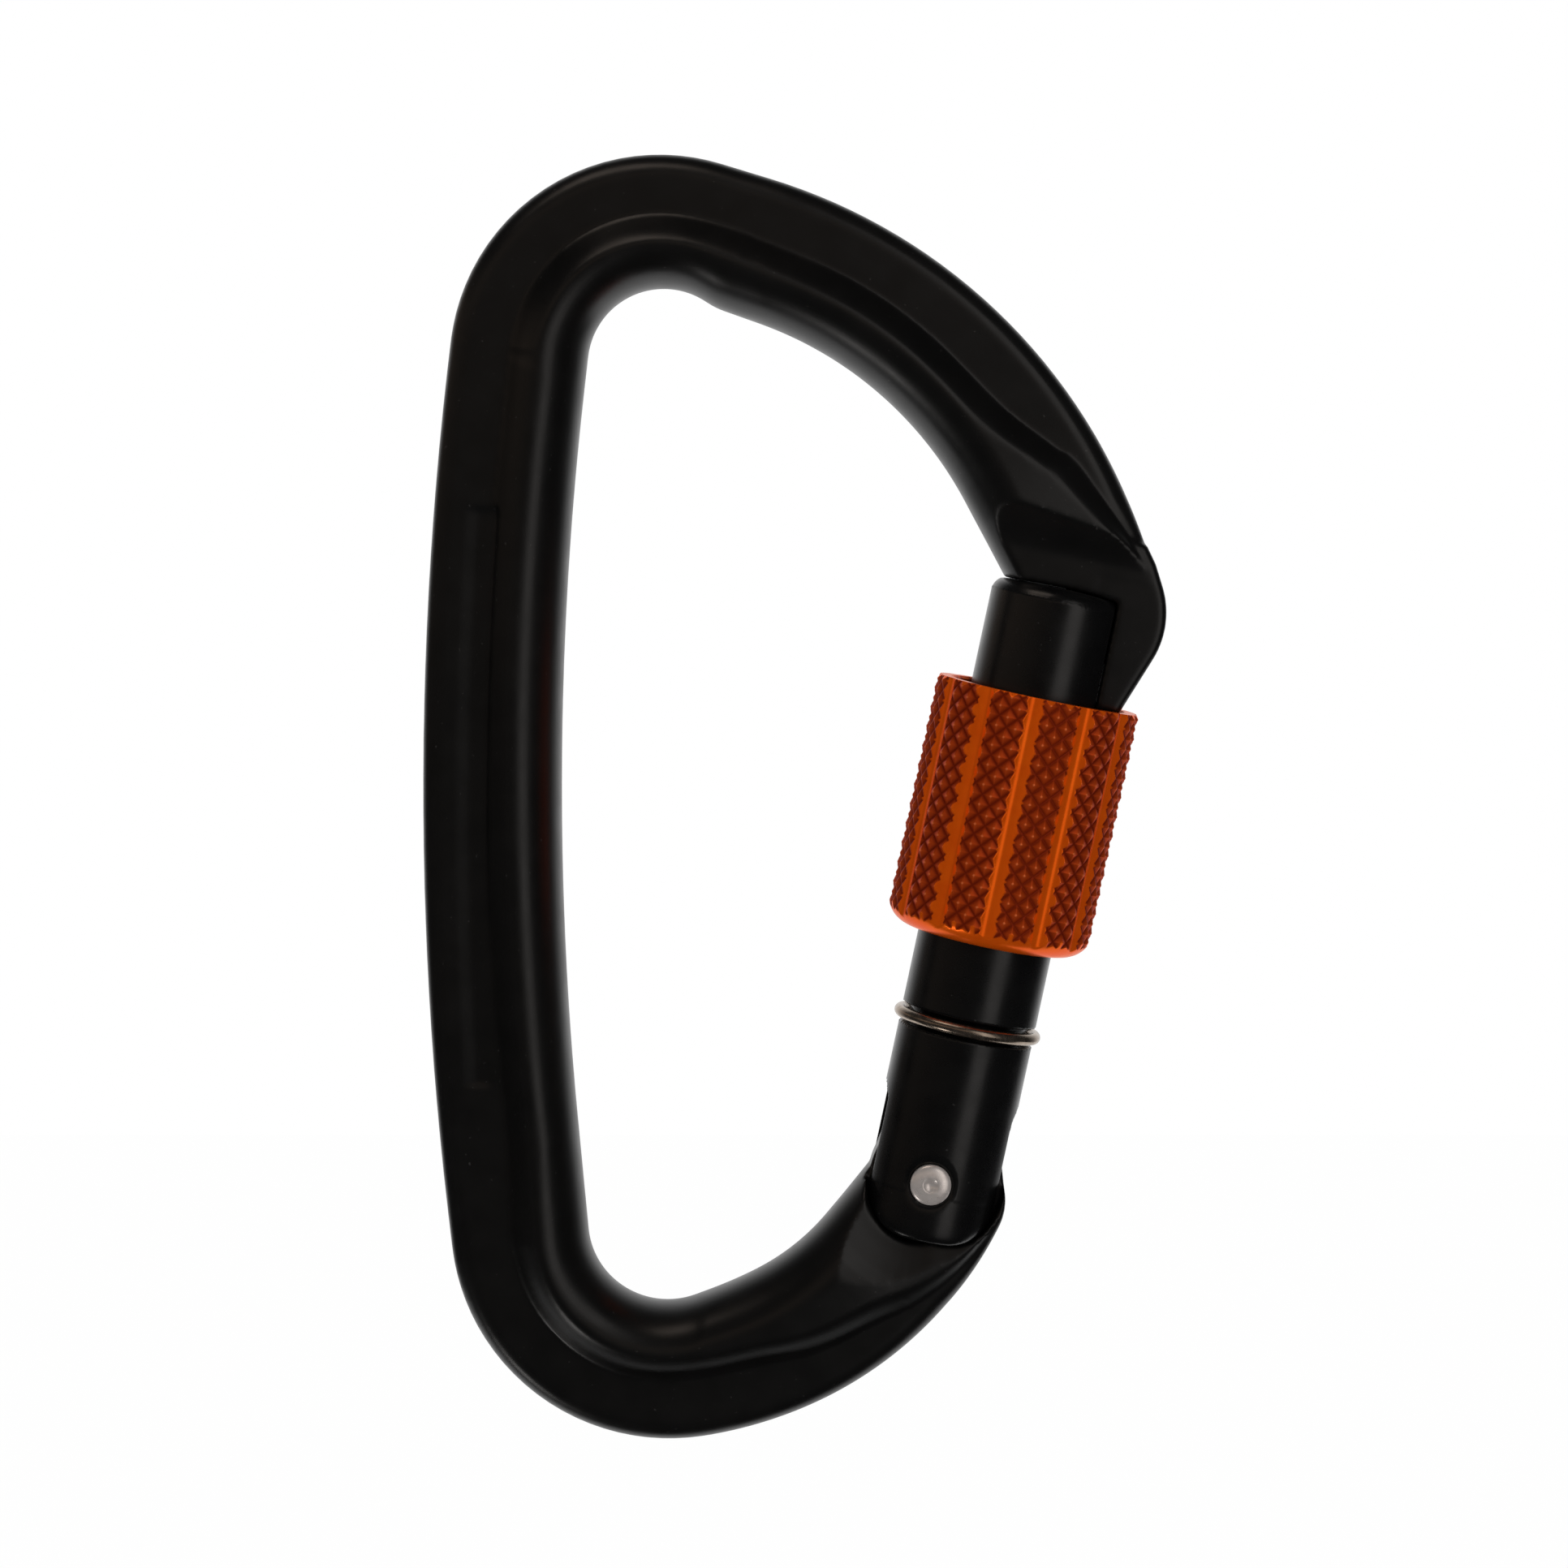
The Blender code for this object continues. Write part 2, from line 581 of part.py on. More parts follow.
def make_ring(frame):
    """The stop ring: a split ring of round wire, open at the back."""
    rings = []
    steps, sides = 48, 8
    start = math.pi / 2 + RING_SPLIT / 2
    for i in range(steps + 1):
        turn = start + (2 * math.pi - RING_SPLIT) * i / steps
        loop = []
        for k in range(sides):
            tilt = 2 * math.pi * k / sides
            radius = RING_RADIUS + RING_WIRE * math.cos(tilt)
            loop.append((radius * math.cos(turn), radius * math.sin(turn), RING_WIRE * math.sin(tilt)))
        rings.append(loop)
    ring = add_mesh("stop_ring", *stack_rings(rings, closed=False), frame)
    ring.location = (GATE_SIDE, 0, RING_PLACE)
    smooth(ring)
    ring.data.materials.append(material("ring_steel", (0.45, 0.40, 0.34), 0.3, 1.0))
    return ring


def make_rivet(frame):
    """The hinge rivet with a low dimpled head at each end."""
    head = [(RIVET_RADIUS, RIVET_SEAT), (RIVET_HEAD, RIVET_SEAT + 0.1 * MM), (RIVET_HEAD, 5.35 * MM),
            (1.5 * MM, 5.56 * MM), (1.0 * MM, 5.7 * MM), (0.5 * MM, RIVET_TOP), (0.32 * MM, 5.68 * MM),
            (0.0, 5.64 * MM)]
    profile = [(r, -z) for r, z in reversed(head)] + head
    rivet = turned("hinge_rivet", profile, 32, frame)
    rivet.rotation_euler = (-math.pi / 2, 0, 0)
    smooth(rivet)
    rivet.data.materials.append(material("rivet_steel", (0.62, 0.58, 0.54), 0.28, 1.0))
    return rivet


def make_plunger(frame):
    """The plunger that the spring presses on the tongue's cam."""
    collar_top = COLLAR_PLACE + COLLAR_HEIGHT
    top = PLUNGER_TIP + PLUNGER_LENGTH
    tip = [(0.0, PLUNGER_TIP), (0.6 * MM, PLUNGER_TIP + 0.08 * MM), (1.15 * MM, PLUNGER_TIP + 0.35 * MM),
           (PLUNGER_RADIUS, PLUNGER_TIP + 0.95 * MM)]
    profile = [*tip, (PLUNGER_RADIUS, COLLAR_PLACE), (PLUNGER_COLLAR, COLLAR_PLACE + 0.1 * MM),
               (PLUNGER_COLLAR, collar_top), (PLUNGER_STEM, collar_top),
               (PLUNGER_STEM, top - 0.3 * MM), (PLUNGER_STEM - 0.3 * MM, top), (0.0, top)]
    plunger = turned("spring_plunger", profile, 24, frame)
    plunger.location = (GATE_SIDE, 0, 0)
    smooth(plunger)
    plunger.data.materials.append(material("plunger_steel", (0.55, 0.55, 0.56), 0.3, 1.0))
    return plunger


def make_spring(frame):
    """The gate spring: one open coil between the plunger's collar and the end of its bore."""
    foot = COLLAR_PLACE + COLLAR_HEIGHT + SEAT_GAP + SPRING_WIRE
    top = SPRING_BORE_TOP - SEAT_GAP - SPRING_WIRE
    curve = bpy.data.curves.new("gate_spring", "CURVE")
    curve.dimensions = "3D"
    curve.bevel_depth = SPRING_WIRE
    curve.bevel_resolution = 1
    curve.use_fill_caps = True
    count = SPRING_TURNS * SPRING_STEPS + 1
    line = curve.splines.new("POLY")
    line.points.add(count - 1)
    for i in range(count):
        turn = 2 * math.pi * i / SPRING_STEPS
        height = foot + (top - foot) * i / (count - 1)
        line.points[i].co = (SPRING_RADIUS * math.cos(turn), SPRING_RADIUS * math.sin(turn), height, 1.0)
    spring = bpy.data.objects.new("gate_spring", curve)
    spring.parent = frame
    spring.location = (GATE_SIDE, 0, 0)
    bpy.context.collection.objects.link(spring)
    curve.materials.append(material("spring_steel", (0.5, 0.5, 0.5), 0.35, 1.0))
    pitch = (top - foot) / SPRING_TURNS
    print(f"least gap between the spring's turns: {(pitch - 2 * SPRING_WIRE) / MM:.2f} mm")
    return spring


def gate_frame():
    """The empty on the hinge line that carries the gate and all that moves with it."""
    frame = bpy.data.objects.new("gate_hinge", None)
    frame.location = (HINGE_X, 0, HINGE_Z)
    frame.rotation_euler = (0, GATE_TILT, 0)
    bpy.context.collection.objects.link(frame)
    return frame


def main():
    clear_scene()
    frame = gate_frame()
    make_body(frame)
    make_gate(frame)
    make_sleeve(frame)
    make_ring(frame)
    make_rivet(frame)
    make_plunger(frame)
    make_spring(frame)


main()
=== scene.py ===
# %% [markdown]
# # A screw-gate carabiner, dressed for its picture
# This lesson dresses a climber's carabiner: a forged black body, a hinged gate and an orange screw sleeve.
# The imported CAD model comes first, as the fixed frame that says where every piece is and how it moves.
# Each visible piece is then made again at a finer grain and rides on the CAD body that it belongs to.

# %% Load the frame
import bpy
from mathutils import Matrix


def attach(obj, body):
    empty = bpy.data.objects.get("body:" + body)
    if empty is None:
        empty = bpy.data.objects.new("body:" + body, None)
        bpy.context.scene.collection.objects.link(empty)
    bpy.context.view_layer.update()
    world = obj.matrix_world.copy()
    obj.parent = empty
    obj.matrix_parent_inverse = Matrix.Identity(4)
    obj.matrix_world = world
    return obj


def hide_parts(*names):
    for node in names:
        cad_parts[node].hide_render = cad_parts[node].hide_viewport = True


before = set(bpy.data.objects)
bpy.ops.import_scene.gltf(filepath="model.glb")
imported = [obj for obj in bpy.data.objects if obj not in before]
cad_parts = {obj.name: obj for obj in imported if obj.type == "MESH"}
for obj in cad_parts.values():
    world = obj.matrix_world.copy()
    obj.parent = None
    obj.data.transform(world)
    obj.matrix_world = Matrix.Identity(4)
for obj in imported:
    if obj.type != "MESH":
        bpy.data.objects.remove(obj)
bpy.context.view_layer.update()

import math

import bmesh
import bpy
import numpy as np
from mathutils import Matrix, Vector

MM = 0.001

# %% [markdown]
# ## The camera
# A small object photographed for a catalogue is taken with a long lens from close to its own height. A
# short lens close by would bend the long D and make its near parts swell. The lens is 100 mm, and the
# camera stands a little above the carabiner and looks slightly down, so the top rim of the sleeve shows as
# a thin ellipse.

# %% Camera
VIEW_TARGET = Vector((9.7, 0.0, -40.2)) * MM
VIEW_DISTANCE = 356 * MM
VIEW_RISE = math.radians(4.5)
LENS_MM = 100
SENSOR_MM = 36
NEAR_CLIP = 10 * MM


def add_object(name, data):
    """A new object in the scene."""
    item = bpy.data.objects.new(name, data)
    bpy.context.collection.objects.link(item)
    return item


def make_camera():
    """A long lens at the photograph's height and distance."""
    lens = bpy.data.cameras.new("catalogue_camera")
    lens.lens = LENS_MM
    lens.sensor_width = SENSOR_MM
    lens.clip_start = NEAR_CLIP
    camera = add_object("catalogue_camera", lens)
    away = Vector((0, -math.cos(VIEW_RISE), math.sin(VIEW_RISE)))
    camera.location = VIEW_TARGET + away * VIEW_DISTANCE
    camera.rotation_euler = (-away).to_track_quat("-Z", "Y").to_euler()
    bpy.context.scene.camera = camera
    return camera


camera = make_camera()
bpy.context.scene.view_settings.view_transform = "Standard"
print("camera stands at", [round(c, 3) for c in camera.location])

# %% [markdown]
# ## The studio
# Black metal shows hardly any colour of its own: what the eye reads is what it mirrors. The picture needs
# a white backdrop behind the object, which gives the thin white rims, and a dim room behind the camera,
# which keeps the faces black. A warm wall above the camera turns the upper faces brown. Real walls could
# be built round the object, but they would shade it and fill the scene. The world can do all of this. It
# looks white to the camera and evenly white to dull surfaces. A mirror sees the white backdrop, the dim
# room or the warm wall, by the direction that it looks in. Each limit is a pair: the part of the
# direction, from -1 to 1, at which a change begins and the one at which it ends.

# %% World helpers
def smooth_share(tree, value, limits):
    """A soft step from 0 at the first limit to 1 at the second."""
    made = tree.nodes.new("ShaderNodeMapRange")
    made.interpolation_type = "SMOOTHSTEP"
    made.inputs["From Min"].default_value, made.inputs["From Max"].default_value = limits
    tree.links.new(value, made.inputs["Value"])
    return made.outputs["Result"]


def glow(tree, colour, strength=1.0):
    """A background of one colour."""
    made = tree.nodes.new("ShaderNodeBackground")
    made.inputs["Color"].default_value = (*colour, 1)
    made.inputs["Strength"].default_value = strength
    return made.outputs[0]


def mix_glow(tree, share, low, high):
    """Two shaders mixed by a share."""
    made = tree.nodes.new("ShaderNodeMixShader")
    for socket, value in zip(made.inputs, (share, low, high)):
        tree.links.new(value, socket)
    return made.outputs[0]


def any_ray(tree, *kinds):
    """1 for each of the named kinds of ray, 0 for all others."""
    ray = tree.nodes.new("ShaderNodeLightPath")
    found = ray.outputs[kinds[0]]
    for kind in kinds[1:]:
        either = tree.nodes.new("ShaderNodeMath")
        either.operation = "MAXIMUM"
        tree.links.new(found, either.inputs[0])
        tree.links.new(ray.outputs[kind], either.inputs[1])
        found = either.outputs[0]
    return found


# %% [markdown]
# Four steps in a row build what a mirror sees. Each one keeps what came before up to its limits and lays
# the next colour beyond them: the warm wall above the horizon, the dim room over and beside it, and the
# white backdrop behind the object.

# %% World
WHITE = (1.0, 1.0, 1.0)
DIM_ROOM = (0.014, 0.014, 0.015)
WARM_WALL = (0.41, 0.31, 0.235)
FILL_LEVEL = 0.72
WALL_FOOT = (0.0, 0.32)
WALL_TOP = (0.17, 0.42)
WALL_RIGHT_END = (0.08, 0.34)
BACKDROP_EDGE = (0.42, 0.95)


def make_world():
    """White to the camera, soft white to dull surfaces, a studio round the object to mirrors."""
    world = bpy.data.worlds.new("white_studio")
    world.use_nodes = True
    tree = world.node_tree
    tree.nodes.clear()
    direction = tree.nodes.new("ShaderNodeTexCoord")
    axes = tree.nodes.new("ShaderNodeSeparateXYZ")
    tree.links.new(direction.outputs["Generated"], axes.inputs[0])
    room = glow(tree, DIM_ROOM)
    for axis, limits, beyond in (("Z", WALL_FOOT, WARM_WALL), ("Z", WALL_TOP, DIM_ROOM),
                                 ("X", WALL_RIGHT_END, DIM_ROOM), ("Y", BACKDROP_EDGE, WHITE)):
        room = mix_glow(tree, smooth_share(tree, axes.outputs[axis], limits), room, glow(tree, beyond))
    unseen = mix_glow(tree, any_ray(tree, "Is Glossy Ray"), glow(tree, WHITE, FILL_LEVEL), room)
    seen = any_ray(tree, "Is Camera Ray", "Is Transmission Ray")
    out = tree.nodes.new("ShaderNodeOutputWorld")
    tree.links.new(mix_glow(tree, seen, unseen, glow(tree, WHITE)), out.inputs["Surface"])
    bpy.context.scene.world = world
    return world


print("world:", make_world().name)

# %% [markdown]
# The table is a plain pale plane well below the carabiner, which hangs free in the picture. Part of the
# table's white is its own glow for the camera and for mirrors, so it fades into the white backdrop, and
# the rest is plain paint, so it still takes the carabiner's soft shadow. Glow alone would lose the shadow,
# and paint alone would need lamps so strong that they bleach the object.

# %% Table
TABLE_DROP = -0.55
TABLE_FRONT = 0.08
TABLE_BACK = 3.0
TABLE_SIDE = 0.8
TABLE_PAINT = (0.92, 0.92, 0.92, 1)
TABLE_GLOW = 0.9
TABLE_WHITE = 1.03


def table_finish():
    """Pale paint that glows a little for the camera and for mirrors."""
    made = bpy.data.materials.new("table_white")
    made.use_nodes = True
    tree = made.node_tree
    paint = tree.nodes["Principled BSDF"]
    paint.inputs["Base Color"].default_value = TABLE_PAINT
    paint.inputs["Roughness"].default_value = 0.9
    paint.inputs["Specular IOR Level"].default_value = 0.0
    shine = tree.nodes.new("ShaderNodeEmission")
    shine.inputs["Color"].default_value = (*WHITE, 1)
    shine.inputs["Strength"].default_value = TABLE_WHITE
    share = tree.nodes.new("ShaderNodeMath")
    share.operation = "MULTIPLY"
    share.inputs[1].default_value = TABLE_GLOW
    seen = any_ray(tree, "Is Camera Ray", "Is Glossy Ray", "Is Transmission Ray")
    tree.links.new(seen, share.inputs[0])
    both = mix_glow(tree, share.outputs[0], paint.outputs[0], shine.outputs[0])
    tree.links.new(both, tree.nodes["Material Output"].inputs["Surface"])
    return made


def make_table():
    """A plain plane under and behind the carabiner."""
    mesh = bpy.data.meshes.new("table")
    corners = [(-TABLE_SIDE, TABLE_FRONT), (TABLE_SIDE, TABLE_FRONT),
               (TABLE_SIDE, TABLE_BACK), (-TABLE_SIDE, TABLE_BACK)]
    mesh.from_pydata([(x, y, TABLE_DROP) for x, y in corners], [], [(0, 1, 2, 3)])
    table = add_object("table", mesh)
    mesh.materials.append(table_finish())
    return table


print("table size in m:", [round(c, 2) for c in make_table().dimensions])

# %% [markdown]
# Three soft area lights stand round the object. Point lamps would leave hard dots on such satin metal, and
# panels leave long soft streaks. The tall one on the right draws those on the gate and the rope rod. The
# low one on the left lights the undersides, and a small warm one close above the crown draws the soft
# streak on its rod.

# %% Lights
LIGHTS = (
    # name, place in metres, width, height, radiance, colour
    ("right_panel", (0.42, -0.69, 0.05), 0.36, 0.9, 0.8, (1.0, 0.95, 0.91)),
    ("low_left_panel", (-0.34, -0.16, -0.50), 0.12, 0.12, 5.0, (1.0, 0.97, 0.94)),
    ("top_panel", (-0.03, -0.08, 0.13), 0.11, 0.07, 1.3, (1.0, 0.84, 0.72)),
)


def make_light(name, place, width, height, radiance, colour):
    """A soft panel that faces the carabiner and shines with an even radiance."""
    panel = bpy.data.lights.new(name, "AREA")
    panel.shape = "RECTANGLE"
    panel.size, panel.size_y = width, height
    panel.energy = radiance * math.pi * width * height
    panel.color = colour
    item = add_object(name, panel)
    item.location = place
    item.rotation_euler = (VIEW_TARGET - Vector(place)).to_track_quat("-Z", "Y").to_euler()
    return item


for light in LIGHTS:
    print(make_light(*light).name)

# %% [markdown]
# ## Skins over rings
# Almost every piece here is a skin stretched over a row of equal rings of points: a bar along a path, a
# turned pin, a wire. One helper builds them all. It closes the row into a loop or caps its ends, welds the
# points that fall together and turns every face outwards.

# %% Skin helper
WELD = 1e-7


def reshape(mesh, change):
    """Open a mesh for editing, make a change in it and write it back."""
    shape = bmesh.new()
    shape.from_mesh(mesh)
    change(shape)
    shape.to_mesh(mesh)
    shape.free()


def weld(shape):
    """Join points in the same place and turn all faces outwards."""
    bmesh.ops.remove_doubles(shape, verts=shape.verts, dist=WELD)
    bmesh.ops.recalc_face_normals(shape, faces=shape.faces)


def skin(name, rings, closed):
    """A mesh object stretched over equal rings, closed end to end or capped."""
    rings = np.asarray(rings, float)
    row_count, count = rings.shape[:2]
    last = row_count if closed else row_count - 1
    low = np.arange(last)[:, None] * count
    high = (np.arange(last)[:, None] + 1) % row_count * count
    here = np.arange(count)[None, :]
    after = (here + 1) % count
    quads = np.stack([low + here, low + after, high + after, high + here], axis=-1)
    faces = quads.reshape(-1, 4).tolist()
    if not closed:
        faces.append(list(reversed(range(count))))
        faces.append(list(range((row_count - 1) * count, row_count * count)))
    mesh = bpy.data.meshes.new(name)
    mesh.from_pydata(rings.reshape(-1, 3).tolist(), [], faces)
    reshape(mesh, weld)
    return add_object(name, mesh)


# %% [markdown]
# A turned piece is a profile spun about an upright line, as on a lathe. A prism is an outline pushed along
# one direction, as cut from plate. Arcs round the corners of both.

# %% Turned and pushed outlines
def full_turn(count):
    """Equal steps round a full turn."""
    return np.arange(count) * 2 * math.pi / count


def turned(name, profile, segments, axis_x=0.0):
    """Turn a closed profile of (radius, height) about the upright line at axis_x."""
    rings = [[(axis_x + r * math.cos(t), r * math.sin(t), z) for r, z in profile]
             for t in full_turn(segments)]
    return skin(name, rings, closed=True)


def prism(name, outline, low, high, lay):
    """Extrude a flat outline; lay turns its two coordinates and the depth into a point."""
    rings = [[lay(a, b, depth) for a, b in outline] for depth in (low, high)]
    return skin(name, rings, closed=False)


def along_y(a, b, depth):
    """Lay an outline in the xz plane."""
    return (a, depth, b)


def along_x(a, b, depth):
    """Lay an outline in the yz plane."""
    return (depth, a, b)


def arc(centre, radius, start_deg, end_deg, steps):
    """Points round an arc."""
    turns = np.radians(np.linspace(start_deg, end_deg, steps + 1))
    return [(centre[0] + radius * math.cos(t), centre[1] + radius * math.sin(t)) for t in turns]


print("an arc from 0 to 90 degrees:", [[round(float(c), 2) for c in p] for p in arc((0, 0), 1, 0, 90, 2)])

# %% [markdown]
# ## Cutting and softening
# A forged part is cut and joined like a solid, then tumbled until no edge is sharp. Booleans do the first
# step. For the second, the shape is remeshed on a fine grid, which lets it forget where its parts met, and
# a short smoothing then rounds every edge and inner corner by a few tenths of a millimetre.

# %% Cutting and softening helpers
def combine(target, tool, operation):
    """Cut a tool out of the target, join it on, or keep what both share."""
    step = target.modifiers.new(tool.name, "BOOLEAN")
    step.operation = operation
    step.solver = "EXACT"
    step.object = tool


def bake(item):
    """Turn a piece's modifiers into its mesh and remove the tools they used."""
    tools = [step.object for step in item.modifiers if step.type == "BOOLEAN"]
    graph = bpy.context.evaluated_depsgraph_get()
    shape = bpy.data.meshes.new_from_object(item.evaluated_get(graph))
    item.modifiers.clear()
    item.data = shape
    for tool in tools:
        bpy.data.objects.remove(tool)
    return item


def soften(item, passes):
    """Pull every point half way towards its neighbours, a number of times."""
    step = item.modifiers.new("soften", "SMOOTH")
    step.factor = 0.5
    step.iterations = passes
    return step


def tumble(item, grain, passes):
    """Remesh a piece on a grid of the given grain and round its edges with a few smoothing passes."""
    grid = item.modifiers.new("grid", "REMESH")
    grid.mode = "VOXEL"
    grid.voxel_size = grain
    grid.use_smooth_shade = True
    soften(item, passes)
    return bake(item)


def points_of(item):
    """A piece's points as an array."""
    found = np.empty(len(item.data.vertices) * 3, np.float32)
    item.data.vertices.foreach_get("co", found)
    return found.reshape(-1, 3).astype(float)


def set_points(item, points):
    """Put an array back as a piece's points."""
    item.data.vertices.foreach_set("co", np.asarray(points, np.float32).ravel())
    item.data.update()


# %% [markdown]
# ## Putting a piece in its place
# The gate leans, so its pieces are drawn upright on the hinge line and then leaned as one. The hinge and
# the lean are the CAD model's own. Every finished piece says which body it rides on, which finish it has
# and which plain CAD solid it stands for.

# %% Gate frame and placing
HINGE = Vector((21.6, 0.0, -72.4)) * MM
GATE_LEAN = math.radians(11.9)
GATE_SIDE = 0.5 * MM
GATE_FRAME = Matrix.Translation(HINGE) @ Matrix.Rotation(GATE_LEAN, 4, "Y")
CROSSWISE = Matrix.Rotation(-math.pi / 2, 4, "X")
print("the gate leans by", round(math.degrees(GATE_LEAN), 1), "degrees")


def lean(item):
    """Move a tool that was drawn in the gate's frame to where the body is."""
    item.data.transform(GATE_FRAME)
    return item


def place(item, finish, body, slot, node):
    """Give a piece its finish and its body, and hide the CAD solid that it stands for. The slot is not used.
    """
    item.data.materials.clear()
    item.data.materials.append(finish)
    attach(item, body)
    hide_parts(node)
    print(f"{item.name}: {len(item.data.polygons)} faces on {body}")


# %% [markdown]
# ## The forged body
# The body starts as a round bar that is bent into a D, then pressed in a die. The press leaves a half-
# round rod on the inside, where the rope runs, and a thin flat web on the outside that carries load. It
# could be modelled by hand with a subdivision surface. A loft is closer to the real part: two rails give
# the inner and outer outline, and a section that changes along the way is stretched between them. A rail
# is a polygon in millimetres with rounded corners. Each corner's reach says how far from it the rounding
# starts.

# %% Body rails
RAIL_START = ((40.75, -26.9), (29.6, -26.9))
RAIL_END = ((27.5, -70.9), (17.8, -70.1))
RAIL_CORNERS = (
    # outer corner, its reach, inner corner, its reach
    ((37.9, -16.8), 6.2, (26.9, -21.8), 3.0),       # nose
    ((25.6, 3.7), 17.8, (18.8, -6.7), 11.8),        # upper arm
    ((6.5, 9.45), 1.6, (4.1, -1.5), 0.8),           # lip of the top basket
    ((-14.6, 15.85), 20.1, (-5.0, 4.6), 10.1),      # top basket
    ((-21.85, -39.4), 36.0, (-10.0, -38.0), 30.0),  # bowed spine
    ((-15.5, -96.8), 18.7, (-5.6, -85.5), 8.5),     # bottom basket
    ((7.3, -93.3), 4.4, (5.4, -81.4), 2.2),         # lip of the bottom basket
    ((17.15, -89.1), 6.3, (10.7, -78.7), 3.8),      # lower arm
    ((24.7, -81.4), 4.5, (14.7, -73.9), 1.4),       # hinge root
    ((27.95, -75.1), 1.5, (16.7, -71.4), 0.7),      # hinge cheek
)
CORNER_STEPS = 24
SIDE_STEPS = 12


def rounded_corner(before, corner, after, reach, steps):
    """Points round one corner of a polygon, on the circle that touches both its sides."""
    before, corner, after = (np.array(p, float) for p in (before, corner, after))
    back = (before - corner) / np.linalg.norm(before - corner)
    ahead = (after - corner) / np.linalg.norm(after - corner)
    pull = math.sqrt((1 - back @ ahead) / 2)
    points = []
    for w in np.linspace(0, 1, steps + 1):
        weights = ((1 - w) ** 2, 2 * w * (1 - w) * pull, w ** 2)
        ends = (corner + back * reach, corner, corner + ahead * reach)
        points.append(sum(k * p for k, p in zip(weights, ends)) / sum(weights))
    return points


def rails():
    """The body's stations: (station number, outer point, inner point), in metres."""
    outer = [RAIL_START[0], *(c[0] for c in RAIL_CORNERS), RAIL_END[0]]
    inner = [RAIL_START[1], *(c[2] for c in RAIL_CORNERS), RAIL_END[1]]
    stations = [(-1.0, np.array(outer[0]), np.array(inner[0]))]
    for i, (_, outer_reach, _, inner_reach) in enumerate(RAIL_CORNERS):
        outside = rounded_corner(*outer[i:i + 3], outer_reach, CORNER_STEPS)
        inside = rounded_corner(*inner[i:i + 3], inner_reach, CORNER_STEPS)
        last, from_out, from_in = stations[-1]
        for k in range(1, SIDE_STEPS):
            w = k / SIDE_STEPS
            stations.append((last + (2 * i - last) * w, from_out + (outside[0] - from_out) * w,
                             from_in + (inside[0] - from_in) * w))
        for k in range(CORNER_STEPS + 1):
            stations.append((2 * i + k / CORNER_STEPS, outside[k], inside[k]))
    stations.append((2.0 * len(RAIL_CORNERS), np.array(outer[-1]), np.array(inner[-1])))
    return [(s, a * MM, b * MM) for s, a, b in stations]


print("body stations:", len(rails()))

# %% [markdown]
# The section is a T lying on its side. Its round head is the rope rod and its stem is the web. The rod's
# ridge wanders: it hugs the inner edge along the spine and runs out to the outer edge at the nose and at
# the hinge, where the part needs its full thickness. Knots along the body give the ridge's place, and a
# short running average takes the kinks out. The inner rail is averaged too, so its corners don't show in
# the ridge.

# %% Ridge along the body
RIDGE_PLACE = (
    # station on the rails, ridge's distance from the inner rail (mm)
    (-1, 12.0), (0, 10.9), (0.5, 8.0), (1, 7.0), (2, 6.2), (2.08, 5.2), (2.16, 4.2), (2.24, 3.9),
    (2.4, 3.9), (2.7, 4.0), (11, 4.0), (13, 4.5), (14, 5.4), (14.6, 6.3), (15, 7.2), (16, 8.1),
    (16.6, 10.2), (17, 11.0), (20, 12.0))
RIDGE_HALF = (
    # station on the rails, half the body's thickness at the ridge (mm)
    (-1, 3.7), (0.5, 4.5), (2.3, 5.0), (14, 5.0), (15, 4.7), (16, 4.2), (17, 3.6), (20, 3.3))
RIDGE_BLEND = 2.0 * MM
RIDGE_EASE = 3.0 * MM


def averaged(values, lengths, reach):
    """A running average of values over a short run of the bar."""
    apart = (lengths[:, None] - lengths[None, :]) / reach
    weights = np.exp(-0.5 * apart ** 2) * np.gradient(lengths)[None, :]
    return ((weights @ values).T / weights.sum(axis=1)).T


def blended(knots, stations, lengths):
    """Values in metres from (station, millimetres) knots, averaged over a short run of the bar."""
    places, values = zip(*knots)
    return averaged(np.interp([s[0] for s in stations], places, values) * MM, lengths, RIDGE_BLEND)


print("ridge knots:", len(RIDGE_PLACE))

# %% [markdown]
# One side of the section starts round, as the rod, and meets the ridge. From the ridge it falls to the web
# in a curve with a small fillet at its foot, and the web ends in a rounded rim. Where the web runs out,
# every part of it shrinks to a share of the room that is left.

# %% Body section
ROD_HALF = 5.0 * MM
ROD_DEPTH = 3.9 * MM
ROD_TURNS = np.radians(np.arange(6, 91, 6))
RIDGE_LAND = 1.0 * MM
FALL_WIDTH = 2.4 * MM
FALL_CURVE = 1.6
FILLET_CURVE = 1.3
FALL_PARTS = np.linspace(0.08, 1.0, 12)
WEB_HALF = 3.05 * MM
WEB_EDGE = 1.6 * MM
EDGE_TURNS = np.radians(np.arange(0, 91, 10))
WEB_MARGIN = 2.6 * MM
WEB_FALL = 0.16 * MM
FALL_SHARE, EDGE_SHARE, MARGIN_SHARE = 0.5, 0.45, 0.6


